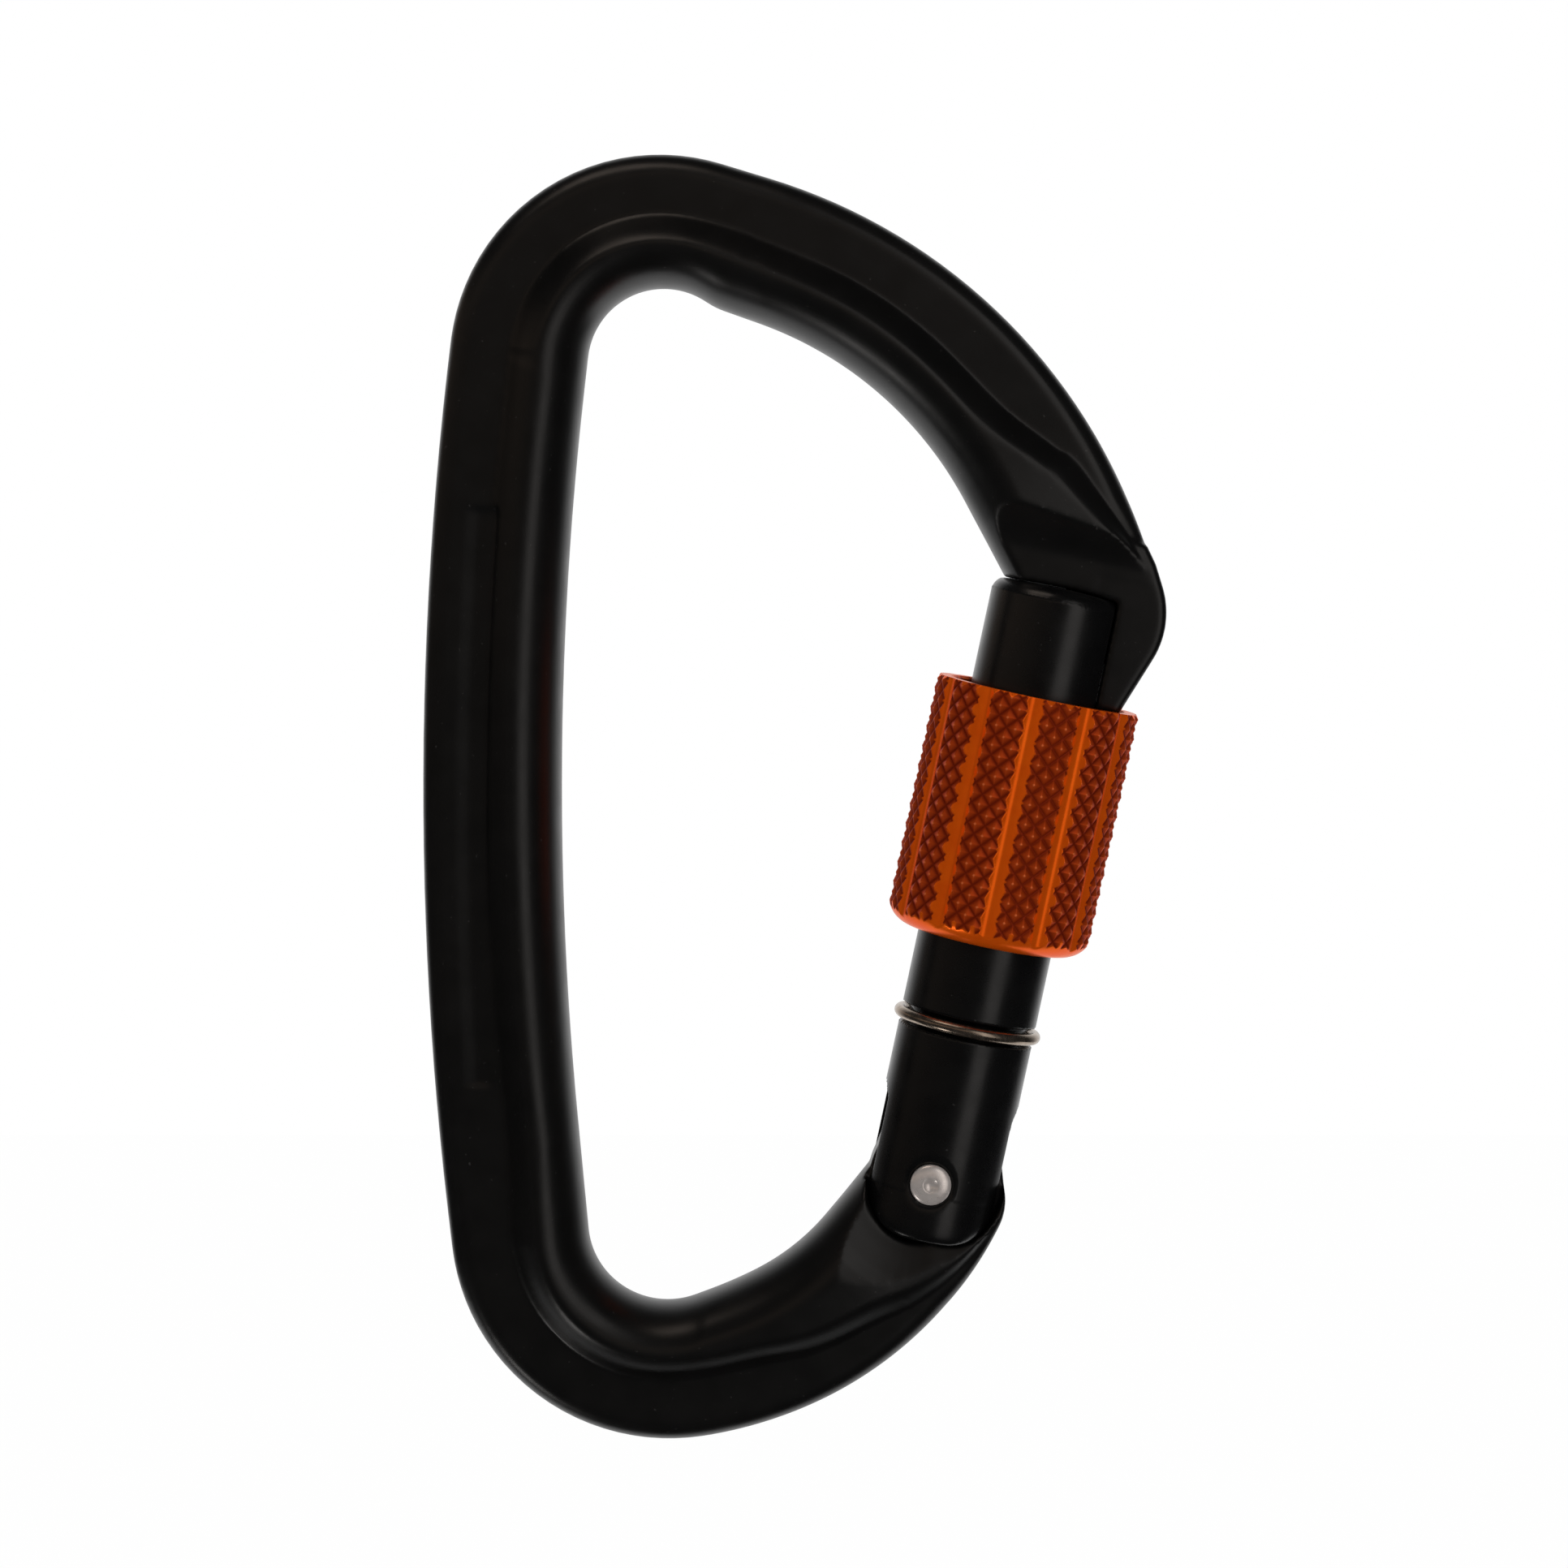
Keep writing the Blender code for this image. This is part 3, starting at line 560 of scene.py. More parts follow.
def half_section(ridge, ridge_half, width):
    """One side of the body's section: (distance from the inner rail, half thickness)."""
    ridge = min(ridge, width - RIDGE_LAND)
    room = width - ridge
    fall, edge = min(FALL_WIDTH, room * FALL_SHARE), min(WEB_EDGE, room * EDGE_SHARE)
    side = [(ROD_DEPTH * (1 - math.cos(t)), ROD_HALF * math.sin(t)) for t in ROD_TURNS]
    side.append((ridge, ridge_half))
    for part in FALL_PARTS:
        drop = 1 - (1 - part ** FALL_CURVE) ** FILLET_CURVE
        side.append((ridge + fall * part, ridge_half + (WEB_HALF - ridge_half) * drop))
    for t in EDGE_TURNS:
        side.append((width - edge + edge * math.sin(t), WEB_HALF - edge * (1 - math.cos(t))))
    margin = min(WEB_MARGIN, room * MARGIN_SHARE)
    return [(d, half - WEB_FALL * max(0.0, (d - width + margin) / margin) ** 2) for d, half in side]


print("points on one side of a section:", len(half_section(ROD_DEPTH, ROD_HALF, 3 * ROD_DEPTH)))

# %% [markdown]
# With the rails and the section ready, the bar is one skin over all its sections. Each section stands
# across the bar, along the line from its inner rail point to its outer one.

# %% Body bar
def body_bar():
    """The pressed bar, lofted between its two rails."""
    stations = rails()
    middle = np.array([(outer + inner) / 2 for _, outer, inner in stations])
    lengths = np.concatenate([[0], np.cumsum(np.linalg.norm(np.diff(middle, axis=0), axis=1))])
    ridges = blended(RIDGE_PLACE, stations, lengths)
    halves = blended(RIDGE_HALF, stations, lengths)
    inners = np.array([inner for _, _, inner in stations])
    eased = averaged(inners, lengths, RIDGE_EASE) - inners
    rings = []
    for (_, outer, inner), ridge, half, ease in zip(stations, ridges, halves, eased):
        width = float(np.linalg.norm(outer - inner))
        out = (outer - inner) / width
        side = half_section(ridge + float(ease @ out), half, width)
        flat = [(0.0, 0.0), *side, *((d, -y) for d, y in reversed(side))]
        rings.append([(inner[0] + out[0] * d, y, inner[1] + out[1] * d) for d, y in flat])
    print(f"bar length {lengths[-1] / MM:.0f} mm in {len(rings)} sections of {len(rings[0])} points")
    return skin("carabiner_body", rings, closed=False)


body = body_bar()

# %% [markdown]
# ## The nose
# The top end of the body is milled to a flat nose, and the gate closes against it. The nose is a plate
# with rounded rims. Its foot is an arc about the hinge line, just outside the arc that the gate's top
# swings on, so the gap stays even. The bar's own points could be pulled into this shape, but a plate of
# its own, joined on by a boolean, keeps its faces flat and its rims even. These pieces are drawn in the
# gate's frame, with the hinge at its foot.

# %% Nose plate
NOSE_HALF = 3.35 * MM
NOSE_FOOT = 49.6 * MM
NOSE_LEFT = -3.0 * MM
NOSE_EDGE = 0.6 * MM
NOSE_OUTSIDE = ((7.3, 41.1), (9.94, 48.4), (7.1, 53.4))
NOSE_OUTSIDE_REACH = 3.3
NOSE_TOP = ((7.4, 52.9), (6.4, 54.2), (3.0, 55.2), (-3.0, 55.2))
TAIL_IN = 5.06 * MM
TAIL_TIP = 6.97 * MM
TAIL_FOOT = 40.2 * MM
SWING_RADIUS = 49.42 * MM
SEAT_RADIUS = 49.49 * MM
SEAT_STEPS = 24


def swing_arc(radius, start, end):
    """Points of an arc about the hinge line, from one sideways place to another."""
    return [(x, math.sqrt(radius ** 2 - x ** 2)) for x in np.linspace(start, end, SEAT_STEPS)]


def nose_outline():
    """The nose plate seen from the side, with the tail that runs down outside the gate."""
    tail = [(TAIL_IN, TAIL_FOOT), (TAIL_TIP, TAIL_FOOT)]
    outside = rounded_corner(*NOSE_OUTSIDE, NOSE_OUTSIDE_REACH, 20)
    return [*swing_arc(SEAT_RADIUS, NOSE_LEFT, TAIL_IN), *tail,
            *((a * MM, b * MM) for a, b in (*outside, *NOSE_TOP))]


def is_rim(edge):
    """Whether an edge of the nose plate lies on its face's outline, away from the gate."""
    one, other = (v.co for v in edge.verts)
    on_face = abs(abs(one.y) - NOSE_HALF) < WELD and abs(one.y - other.y) < WELD
    by_gate = max(one.z, other.z) < NOSE_FOOT + WELD and max(one.x, other.x) < TAIL_IN + WELD
    return on_face and not by_gate


def round_rim(shape):
    """Round off the rim edges of the nose plate."""
    rim = [e for e in shape.edges if is_rim(e)]
    bmesh.ops.bevel(shape, geom=rim, offset=NOSE_EDGE, segments=5, profile=0.5, affect="EDGES")


def nose_plate():
    """The flat nose, with its rim edges rounded off."""
    plate = prism("nose_plate", nose_outline(), -NOSE_HALF, NOSE_HALF, along_y)
    reshape(plate.data, round_rim)
    return plate


print("points on the nose plate's outline:", len(nose_outline()))

# %% [markdown]
# The plate is thinner than the rod above it. Two ramps, milled from either side, lead from the one to the
# other and make the shoulder. The loft's section could shrink here, but a cutter leaves the crisp line
# that a milled ramp has. It stops a hair under the plate's face, so plate and ramp end up flush.

# %% Shoulder
SHOULDER_FOOT = 51.6 * MM
SHOULDER_TOP = 56.1 * MM
RAMP_CURVE = 1.7
RAMP_SPARE = 0.4 * MM
FLUSH_CUT = 0.02 * MM
TRIM_STEP = 3.0 * MM
TRIM_TOP = SHOULDER_FOOT - 0.4 * MM
CUT_LEFT, CUT_RIGHT = -14 * MM, 16 * MM
CUT_LOW = 34 * MM
CUT_FAR = 9 * MM


def nose_trim():
    """The cutter under the nose: an arc about the hinge line on the left, a flat on the right."""
    outline = [(CUT_LEFT, CUT_LOW), (CUT_RIGHT, CUT_LOW), (CUT_RIGHT, TRIM_TOP), (TRIM_STEP, TRIM_TOP),
               *swing_arc(SEAT_RADIUS, TRIM_STEP, CUT_LEFT)]
    return prism("nose_trim", outline, -CUT_FAR, CUT_FAR, along_y)


def shoulder_ramp(side):
    """A cutter whose curved face climbs from the nose plate to the rod's full thickness."""
    foot = NOSE_HALF - FLUSH_CUT
    rise = ROD_HALF + RAMP_SPARE - NOSE_HALF
    ramp = [(side * foot, CUT_LOW)]
    for part in np.linspace(0.1, 1.0, 10):
        height = SHOULDER_FOOT + (SHOULDER_TOP - SHOULDER_FOOT) * part
        ramp.append((side * (foot + rise * part ** RAMP_CURVE), height))
    ramp += [(side * CUT_FAR, SHOULDER_TOP), (side * CUT_FAR, CUT_LOW)]
    return prism(f"shoulder_{side}", ramp, CUT_LEFT, CUT_RIGHT, along_x)


print("shoulder height in mm:", round((SHOULDER_TOP - SHOULDER_FOOT) / MM, 1))

# %% [markdown]
# A small T-shaped key on the nose's tail locks into a slot in the gate, so the closed gate carries load
# too. The two could be drawn apart, but from one outline, which is grown by a gap for the slot, they are
# sure to fit.

# %% Key, and the nose joined on
KEY_NECK = 1.2 * MM
KEY_HEAD = 2.1 * MM
KEY_LOW = 44.4 * MM
KEY_HIGH = 46.6 * MM
KEY_ROOT = NOSE_FOOT + 0.8 * MM
KEY_ROUND = 0.5 * MM
KEY_END = 1.5 * MM
KEY_SUNK = 0.5 * MM


def key_outline(gap):
    """The T of the key lock seen along its slot, grown by a gap."""
    neck, head = KEY_NECK + gap, KEY_HEAD + gap
    low, high = KEY_LOW - gap, KEY_HIGH + gap
    half = [(head - KEY_ROUND, low), (head, low + KEY_ROUND), (head, high - KEY_ROUND),
            (head - KEY_ROUND, high), (neck, high), (neck, KEY_ROOT)]
    return half + [(-y, z) for y, z in reversed(half)]


def add_nose(item):
    """Trim the bar's top end and join the nose and its key."""
    combine(item, lean(nose_trim()), "DIFFERENCE")
    combine(item, lean(nose_plate()), "UNION")
    for side in (-1, 1):
        combine(item, lean(shoulder_ramp(side)), "DIFFERENCE")
    key = prism("key", key_outline(0.0), KEY_END, TAIL_IN + KEY_SUNK, along_x)
    combine(item, lean(key), "UNION")
    return bake(item)


add_nose(body)
print("body faces with its nose:", len(body.data.polygons))

# %% [markdown]
# ## The hinge
# The lower end of the body becomes a thin tongue that sits in the gate's fork. Its upper edge is a cam:
# the further the gate opens, the deeper the cam presses the sprung plunger. A formula draws that edge,
# since its rise has to match the plunger's travel. The tongue starts as a thicker blank and is milled to
# size together with the dishes below.

# %% Tongue
TONGUE_RADIUS = 4.9 * MM
TONGUE_BLANK = 2.4 * MM
CAM_LIFT = 2.2 * MM
OPEN_ANGLE = math.radians(26.0)
CAM_MARGIN = math.radians(4.0)
CAM_FADE = math.radians(45.0)


def cam_radius(turn):
    """The tongue's radius at an angle from the gate's axis towards the opening."""
    full = OPEN_ANGLE + CAM_MARGIN
    if turn <= full:
        return TONGUE_RADIUS + CAM_LIFT * max(turn, 0.0)
    fade = min((turn - full) / CAM_FADE, 1.0)
    return TONGUE_RADIUS + CAM_LIFT * full * (1 + math.cos(math.pi * fade)) / 2


def tongue():
    """The hinge tongue with its spring cam, thick enough to be milled to size."""
    turns = np.radians(np.arange(-120.0, 121.0, 3.0))
    outline = [(-cam_radius(t) * math.sin(t), cam_radius(t) * math.cos(t)) for t in turns]
    return prism("tongue_blank", outline, -TONGUE_BLANK, TONGUE_BLANK, along_y)


print("cam rise at full opening in mm:", round((cam_radius(OPEN_ANGLE) - TONGUE_RADIUS) / MM, 2))

# %% [markdown]
# A dish is milled into each side of the hinge, which lets the fork's cheeks turn. A plain round cutter
# would leave a wide gap round the gate's heel. This one follows the line that the heel sweeps as it
# swings, found by turning the heel's outline in small steps, and then runs out softly into the rod.

# %% Dishes
GATE_RADIUS = 5.55 * MM
GATE_FOOT = -4.8 * MM
HEEL_RADIUS = 3.9 * MM
HEEL_FLAT = 2.0 * MM
HEEL_WALL = 5.0 * MM
HEEL_STEPS = 24
SWING_STEPS = 27
SWING_WINDOW = math.radians(3)
DISH_REACH = 6.35 * MM
DISH_GAP = -0.08 * MM
DISH_OPEN = 2.0 * MM
DISH_SEGMENTS = 180
DISH_ROWS = 90
DISH = (
    # way out from the swept line, half the thickness that is left there (mm)
    (0.0, 1.6), (0.02, 2.4), (0.05, 3.2), (0.2, 3.62), (1.3, 3.85), (3.0, 4.3), (4.2, 4.7),
    (5.3, 4.95), (6.7, 5.15), (8.1, 5.4))


def heel_foot():
    """The heel's outline from its left side, round both corners, to its right side."""
    arm, height = GATE_RADIUS - HEEL_RADIUS, GATE_FOOT + HEEL_RADIUS
    return (arc((GATE_SIDE - arm, height), HEEL_RADIUS, 180, 270, HEEL_STEPS)
            + arc((GATE_SIDE + arm, height), HEEL_RADIUS, 270, 360, HEEL_STEPS))


def swept_reach(turns):
    """How far from the hinge line the swinging heel reaches, at each angle."""
    low = heel_foot()
    heights = np.linspace(low[0][1], HEEL_WALL, HEEL_STEPS)
    walls = [(x, z) for x in (low[0][0], low[-1][0]) for z in heights]
    flat = np.linspace(GATE_SIDE - HEEL_FLAT, GATE_SIDE + HEEL_FLAT, HEEL_STEPS)
    points = np.array([*low, *walls, *((x, GATE_FOOT) for x in flat)])
    reach, bearing = np.hypot(*points.T), np.arctan2(points[:, 1], points[:, 0])
    swings = np.linspace(0, OPEN_ANGLE, SWING_STEPS)
    swung = (bearing[:, None] + swings[None, :])[None, :, :]
    off = np.abs((swung - turns[:, None, None] + math.pi) % (2 * math.pi) - math.pi)
    met = np.where(off < SWING_WINDOW, reach[None, :, None], 0.0).max(axis=(1, 2))
    met[met == 0] = DISH_REACH
    return np.minimum(met + DISH_GAP, DISH_REACH)


def dish_cutter(side):
    """A cutter with a flat face and a rim that follows the heel's swing and blends into the rod."""
    turns = full_turn(DISH_SEGMENTS)
    reach = swept_reach(turns)
    steps, halves = zip(*DISH)
    fine = np.linspace(steps[0], steps[-1], DISH_ROWS)
    rows = [*zip(fine * MM, np.interp(fine, steps, halves) * MM),
            (steps[-1] * MM, halves[-1] * MM + DISH_OPEN)]
    rings = [[((r + step) * math.cos(t), side * half, (r + step) * math.sin(t))
              for r, t in zip(reach, turns)] for step, half in rows]
    return skin(f"dish_{side}", rings, closed=False)


swept = swept_reach(full_turn(DISH_SEGMENTS))
print("the heel sweeps out to", round(swept.min() / MM, 2), "to", round(swept.max() / MM, 2), "mm")

# %% [markdown]
# The tongue is joined on first, and the dishes then cut both it and the rod, so their faces are one. Last
# comes the rivet's bore through the middle.

# %% Hinge joined on
RIVET_BORE = 1.6 * MM
BORE_SEGMENTS = 64


def bore(name, radius, low, high):
    """A plain round cutter along the hinge line."""
    tool = turned(name, [(0, low), (radius, low), (radius, high), (0, high)], BORE_SEGMENTS)
    tool.data.transform(CROSSWISE)
    return tool


def add_hinge(item):
    """Join the tongue, then mill the dishes and the rivet's bore."""
    combine(item, lean(tongue()), "UNION")
    for side in (-1, 1):
        combine(item, lean(dish_cutter(side)), "DIFFERENCE")
    combine(item, lean(bore("tongue_bore", RIVET_BORE, -CUT_FAR, CUT_FAR)), "DIFFERENCE")
    return bake(item)


add_hinge(body)
print("body faces with its hinge:", len(body.data.polygons))

# %% [markdown]
# ## The shallow pocket
# Both faces of the spine's web carry a long shallow pocket. A bump map could draw it, but its edges have
# to catch the light from every side, so a thin bar that follows the spine cuts it for real. Its sides
# slope, so they fade into the web, and its two ends are steep and show as fine lines. After that the whole
# body is remeshed and softened once, which is what the tumbling drum does.

# %% Pocket and tumbling
POCKET_DEPTH = 0.15 * MM
POCKET_SLOPE = 1.3 * MM
POCKET_INSET = 2.55 * MM
POCKET_WIDTH = 2.9 * MM
POCKET_TOP = -17.6 * MM
POCKET_BOTTOM = -64.7 * MM
POCKET_START = WEB_HALF + 0.003 * MM
POCKET_FLOOR = WEB_HALF - POCKET_DEPTH
BODY_GRAIN = 0.18 * MM
BODY_PASSES = 6


def pocket_cutter(side):
    """A bar that follows the spine and sinks the pocket into one face of the web."""
    rings = []
    spine = [s for s in rails() if POCKET_BOTTOM < s[1][1] < POCKET_TOP and s[1][0] < 0]
    ends = [(POCKET_TOP, spine[0]), *((s[1][1], s) for s in spine), (POCKET_BOTTOM, spine[-1])]
    for height, (_, outer, inner) in ends:
        edge = outer[0] + (inner[0] - outer[0]) / np.linalg.norm(inner - outer) * POCKET_INSET
        far = edge + POCKET_WIDTH
        box = ((edge, POCKET_START), (edge + POCKET_SLOPE, POCKET_FLOOR), (far - POCKET_SLOPE, POCKET_FLOOR),
               (far, POCKET_START), (far, ROD_HALF), (edge, ROD_HALF))
        rings.append([(x, side * y, height) for x, y in box])
    return skin(f"pocket_{side}", rings, closed=False)


for side in (-1, 1):
    combine(body, pocket_cutter(side), "DIFFERENCE")
bake(body)
tumble(body, BODY_GRAIN, BODY_PASSES)
print("body faces after tumbling:", len(body.data.polygons))

# %% [markdown]
# ## The gate
# The gate starts as a turned rod with a groove for the stop ring. It is then milled so that the heel has
# two rounded corners and the top an arc about the hinge line. Each of these could have a cutter of its
# own. Here one solid does both, because the rod keeps only what it shares with that solid.

# %% Gate rod and heel
GATE_TOP = SWING_RADIUS
GATE_ROUND = 1.3 * MM
GATE_SEGMENTS = 160
RING_PLACE = 12.9 * MM
RING_GROOVE = 0.8 * MM
RING_GROOVE_OUT = 0.05 * MM
ROD_SPARE = 2.0 * MM
HEEL_CLEAR = 0.3 * MM
HEEL_TOP = 2.0 * MM
CUT_NEAR = 7.0 * MM


def gate_profile():
    """Half of the gate rod's turned outline, with the ring's groove."""
    low = GATE_FOOT - ROD_SPARE
    groove = arc((GATE_RADIUS + RING_GROOVE_OUT, RING_PLACE), RING_GROOVE, -94, -266, 16)
    crown = arc((GATE_RADIUS - GATE_ROUND, GATE_TOP - GATE_ROUND), GATE_ROUND, 0, 90, 10)
    rim = [(min(r, GATE_RADIUS), z) for r, z in groove]
    return [(0.0, low), (GATE_RADIUS, low), *rim, *crown, (0.0, GATE_TOP)]


def heel_shape():
    """The solid that the gate is milled to: two rounded lower corners, and a top on the swing's radius."""
    left, right = GATE_SIDE - GATE_RADIUS - HEEL_CLEAR, GATE_SIDE + GATE_RADIUS + HEEL_CLEAR
    outline = [(left, HEEL_TOP), *heel_foot(), (right, HEEL_TOP), *swing_arc(SWING_RADIUS, right, left)]
    return prism("heel_shape", outline, -CUT_NEAR, CUT_NEAR, along_y)


gate = turned("gate_rod", gate_profile(), GATE_SEGMENTS, GATE_SIDE)
combine(gate, heel_shape(), "INTERSECT")
print("points on the gate's turned outline:", len(gate_profile()))

# %% [markdown]
# The rest is cut away: the fork that straddles the tongue, the blind bore for the spring, the flat at the
# top with the key's slot in it, the rivet's bore and the two shallow pockets that its heads sit in. The
# cutters are plain solids in the order of the real work, so any cut can be moved without redoing others.

# %% Cuts in the gate
FORK_HALF = 1.95 * MM
FORK_ROOT = 7.0 * MM
FLAT_PLACE = 4.95 * MM
FLAT_FOOT = 39.5 * MM
CUT_HIGH = 52.0 * MM
SLOT_END = 1.1 * MM
KEY_GAP = 0.4 * MM
SPRING_BORE = 2.3 * MM
SPRING_BORE_FOOT = 3.0 * MM
SPRING_BORE_TOP = 22.0 * MM
RIVET_POCKET = 1.5 * MM
RIVET_POCKET_FLOOR = 4.65 * MM


def fork_cutter():
    """The fork's slot, with the round root that its milling cutter leaves."""
    root = arc((0.0, FORK_ROOT - FORK_HALF), FORK_HALF, 0, 180, 24)
    outline = [(-FORK_HALF, -CUT_FAR), (FORK_HALF, -CUT_FAR), *root]
    return prism("fork_cutter", outline, -CUT_FAR, CUT_FAR, along_x)


def spring_cutter():
    """The blind bore that holds the spring and its plunger."""
    hollow = [(0, SPRING_BORE_FOOT), (SPRING_BORE, SPRING_BORE_FOOT), (SPRING_BORE, SPRING_BORE_TOP),
              (0, SPRING_BORE_TOP)]
    return turned("spring_bore", hollow, BORE_SEGMENTS, GATE_SIDE)


def flat_cutter():
    """The cutter for the flat on the side of the gate that faces the nose's tail."""
    outline = [(-CUT_NEAR, FLAT_FOOT), (CUT_NEAR, FLAT_FOOT), (CUT_NEAR, CUT_HIGH), (-CUT_NEAR, CUT_HIGH)]
    return prism("flat_cutter", outline, FLAT_PLACE, CUT_FAR, along_x)


gate_cutters = (fork_cutter(), spring_cutter(), flat_cutter(),
                prism("key_slot", key_outline(KEY_GAP), SLOT_END, CUT_FAR, along_x),
                bore("rivet_bore", RIVET_BORE, -CUT_NEAR, CUT_NEAR),
                bore("rivet_pocket_front", RIVET_POCKET, -CUT_NEAR, -RIVET_POCKET_FLOOR),
                bore("rivet_pocket_back", RIVET_POCKET, RIVET_POCKET_FLOOR, CUT_NEAR))
for cutter in gate_cutters:
    combine(gate, cutter, "DIFFERENCE")
bake(gate)
print("gate faces before its thread:", len(gate.data.polygons))

# %% [markdown]
# A screw thread under the sleeve shows when the sleeve is run down. A boolean between a helix and a rod is
# slow and breaks easily. A thin ridge on a helix is laid on the rod instead, and it melts into the rod
# when the two are remeshed as one.

# %% Gate thread
THREAD_FOOT = 25.0 * MM
THREAD_TOP = 38.4 * MM
THREAD_PITCH = 1.25 * MM
THREAD_CREST = GATE_RADIUS + 0.2 * MM
THREAD_ROOT = GATE_RADIUS - 0.25 * MM
THREAD_CREST_HALF = 0.12 * MM
THREAD_ROOT_HALF = 0.55 * MM
THREAD_STEPS = 72
GATE_GRAIN = 0.14 * MM
GATE_PASSES = 4


def thread_ridge():
    """A thin ridge that winds up the rod, fading in and out at its ends."""
    count = int((THREAD_TOP - THREAD_FOOT) / THREAD_PITCH * THREAD_STEPS)
    rings = []
    for i in range(count + 1):
        turn = 2 * math.pi * i / THREAD_STEPS
        height = THREAD_FOOT + THREAD_PITCH * i / THREAD_STEPS
        fade = min(1.0, i / THREAD_STEPS, (count - i) / THREAD_STEPS)
        crest = GATE_RADIUS + (THREAD_CREST - GATE_RADIUS) * fade
        profile = ((THREAD_ROOT, -THREAD_ROOT_HALF), (THREAD_ROOT, THREAD_ROOT_HALF),
                   (crest, THREAD_CREST_HALF), (crest, -THREAD_CREST_HALF))
        rings.append([(GATE_SIDE + r * math.cos(turn), r * math.sin(turn), height + up)
                      for r, up in profile])
    return skin("thread_ridge", rings, closed=False)


def join_shell(item, other):
    """Add a second closed shell to a piece; the next remesh melts the two together."""
    reshape(item.data, lambda shape: shape.from_mesh(other.data))
    bpy.data.objects.remove(other)


join_shell(gate, thread_ridge())
tumble(gate, GATE_GRAIN, GATE_PASSES)
print("gate faces with its thread:", len(gate.data.polygons))

# %% [markdown]
# Two things are finished one by one. The heel's outer edges get a much longer smoothing, as if filed. And
# remeshing leaves tiny steps on a surface that was turned on a lathe, which a long straight highlight
# would show, so every point that is still close to the rod's radius is put back exactly on it.

# %% Filing and turning the gate
HEEL_SOFT_TOP = 3.0 * MM
HEEL_FORK_RIM = 0.3 * MM
HEEL_PASSES = 90
TURNED_BAND = 0.035 * MM
TURNED_FOOT = -1.0 * MM


def soften_heel(item):
    """Round the outer edges of the heel further, as a hand file does, but leave the slot's edges."""
    points = points_of(item)
    picked = (points[:, 2] < HEEL_SOFT_TOP) & (np.abs(points[:, 1]) > FORK_HALF + HEEL_FORK_RIM)
    group = item.vertex_groups.new(name="heel_edges")
    group.add([int(i) for i in np.nonzero(picked)[0]], 1.0, "REPLACE")
    soften(item, HEEL_PASSES).vertex_group = group.name
    bake(item)
    item.vertex_groups.clear()
    return int(picked.sum())


def trim_to_rod(item):
    """Put every point near the rod's radius exactly on it."""
    points = points_of(item)
    across = points[:, :2] - (GATE_SIDE, 0.0)
    radius = np.linalg.norm(across, axis=1)
    near = (np.abs(radius - GATE_RADIUS) < TURNED_BAND) & (points[:, 2] > TURNED_FOOT)
    points[near, :2] = (GATE_SIDE, 0.0) + across[near] / radius[near, None] * GATE_RADIUS
    set_points(item, points)
    return int(near.sum())


print("points filed at the heel:", soften_heel(gate))
print("points trimmed to the rod:", trim_to_rod(gate), "of", len(gate.data.vertices))

# %% [markdown]
# ## The screw sleeve
# The sleeve is a nut that is turned by hand. Its grip is a diamond knurl, pressed in by two crossing rows
# of grooves, and twelve smooth flutes are milled through the knurl afterwards. A bump map would look flat
# at the outline and along the flutes, so the knurl is real here. One fine grid of points is wrapped round
# the sleeve and every point's radius is the lowest of four surfaces: the crossed grooves, the flute, the
# rounded foot and the chamfered rim. The scalloped borders of the flutes come by themselves.

# %% Knurl and flutes
SLEEVE_RADIUS = 8.45 * MM
FLUTES = 12
FLUTE_WIDTH = 1.8 * MM
FLUTE_DEPTH = 0.46 * MM
KNURL_COUNT = 33
KNURL_RISE = 1.62 * MM
KNURL_DEPTH = 0.3 * MM
KNURL_TIP = 0.94


def crest(phase):
    """1 on a whole number and 0 half way to the next."""
    return 1 - 2 * np.abs(phase - np.round(phase))


def knurl_lift(turn, height):
    """0 in the knurl's grooves and 1 on its worn tips."""
    first = turn / (2 * math.pi) * KNURL_COUNT + height / KNURL_RISE
    second = turn / (2 * math.pi) * KNURL_COUNT - height / KNURL_RISE
    return np.minimum(np.minimum(crest(first), crest(second)), KNURL_TIP) / KNURL_TIP


def knurl_radius(turn, height):
    """The radius of the diamond knurl, pressed in by two crossing rows of grooves."""
    return SLEEVE_RADIUS - KNURL_DEPTH * (1 - knurl_lift(turn, height))


def flute_radius(turn):
    """The radius left by the round cutter that mills the flutes."""
    pitch = 2 * math.pi / FLUTES
    off = np.abs((turn + pitch / 2) % pitch - pitch / 2) * SLEEVE_RADIUS
    return SLEEVE_RADIUS - FLUTE_DEPTH * (1 - (2 * off / FLUTE_WIDTH) ** 2)


print("knurl depth in mm:", round(KNURL_DEPTH / MM, 2), "flutes:", FLUTES)

# %% [markdown]
# The ends are turned: a rounded foot and a small chamfer on the rim. The inside has a wide mouth that
# takes the nose's tail, a step, and the bore that runs on the gate. Its few edges are kept crisp, while
# the rest of the sleeve is shaded smooth.

# %% Sleeve form
SLEEVE_LENGTH = 20.6 * MM
SLEEVE_BORE = 5.85 * MM
SLEEVE_MOUTH = 7.1 * MM
MOUTH_DEPTH = 7.2 * MM
MOUTH_STEP = 0.7 * MM
MOUTH_CHAMFER = 0.15 * MM
MOUTH_CHAMFER_DEPTH = 0.2 * MM
SLEEVE_ROUND = 2.1 * MM
ROUND_PULL = 1.1
ROUND_ROWS = 16
SLEEVE_RIM = 0.35 * MM
RIM_SLOPE = 0.8
SLEEVE_COLUMNS = 720
SLEEVE_ROWS = 260


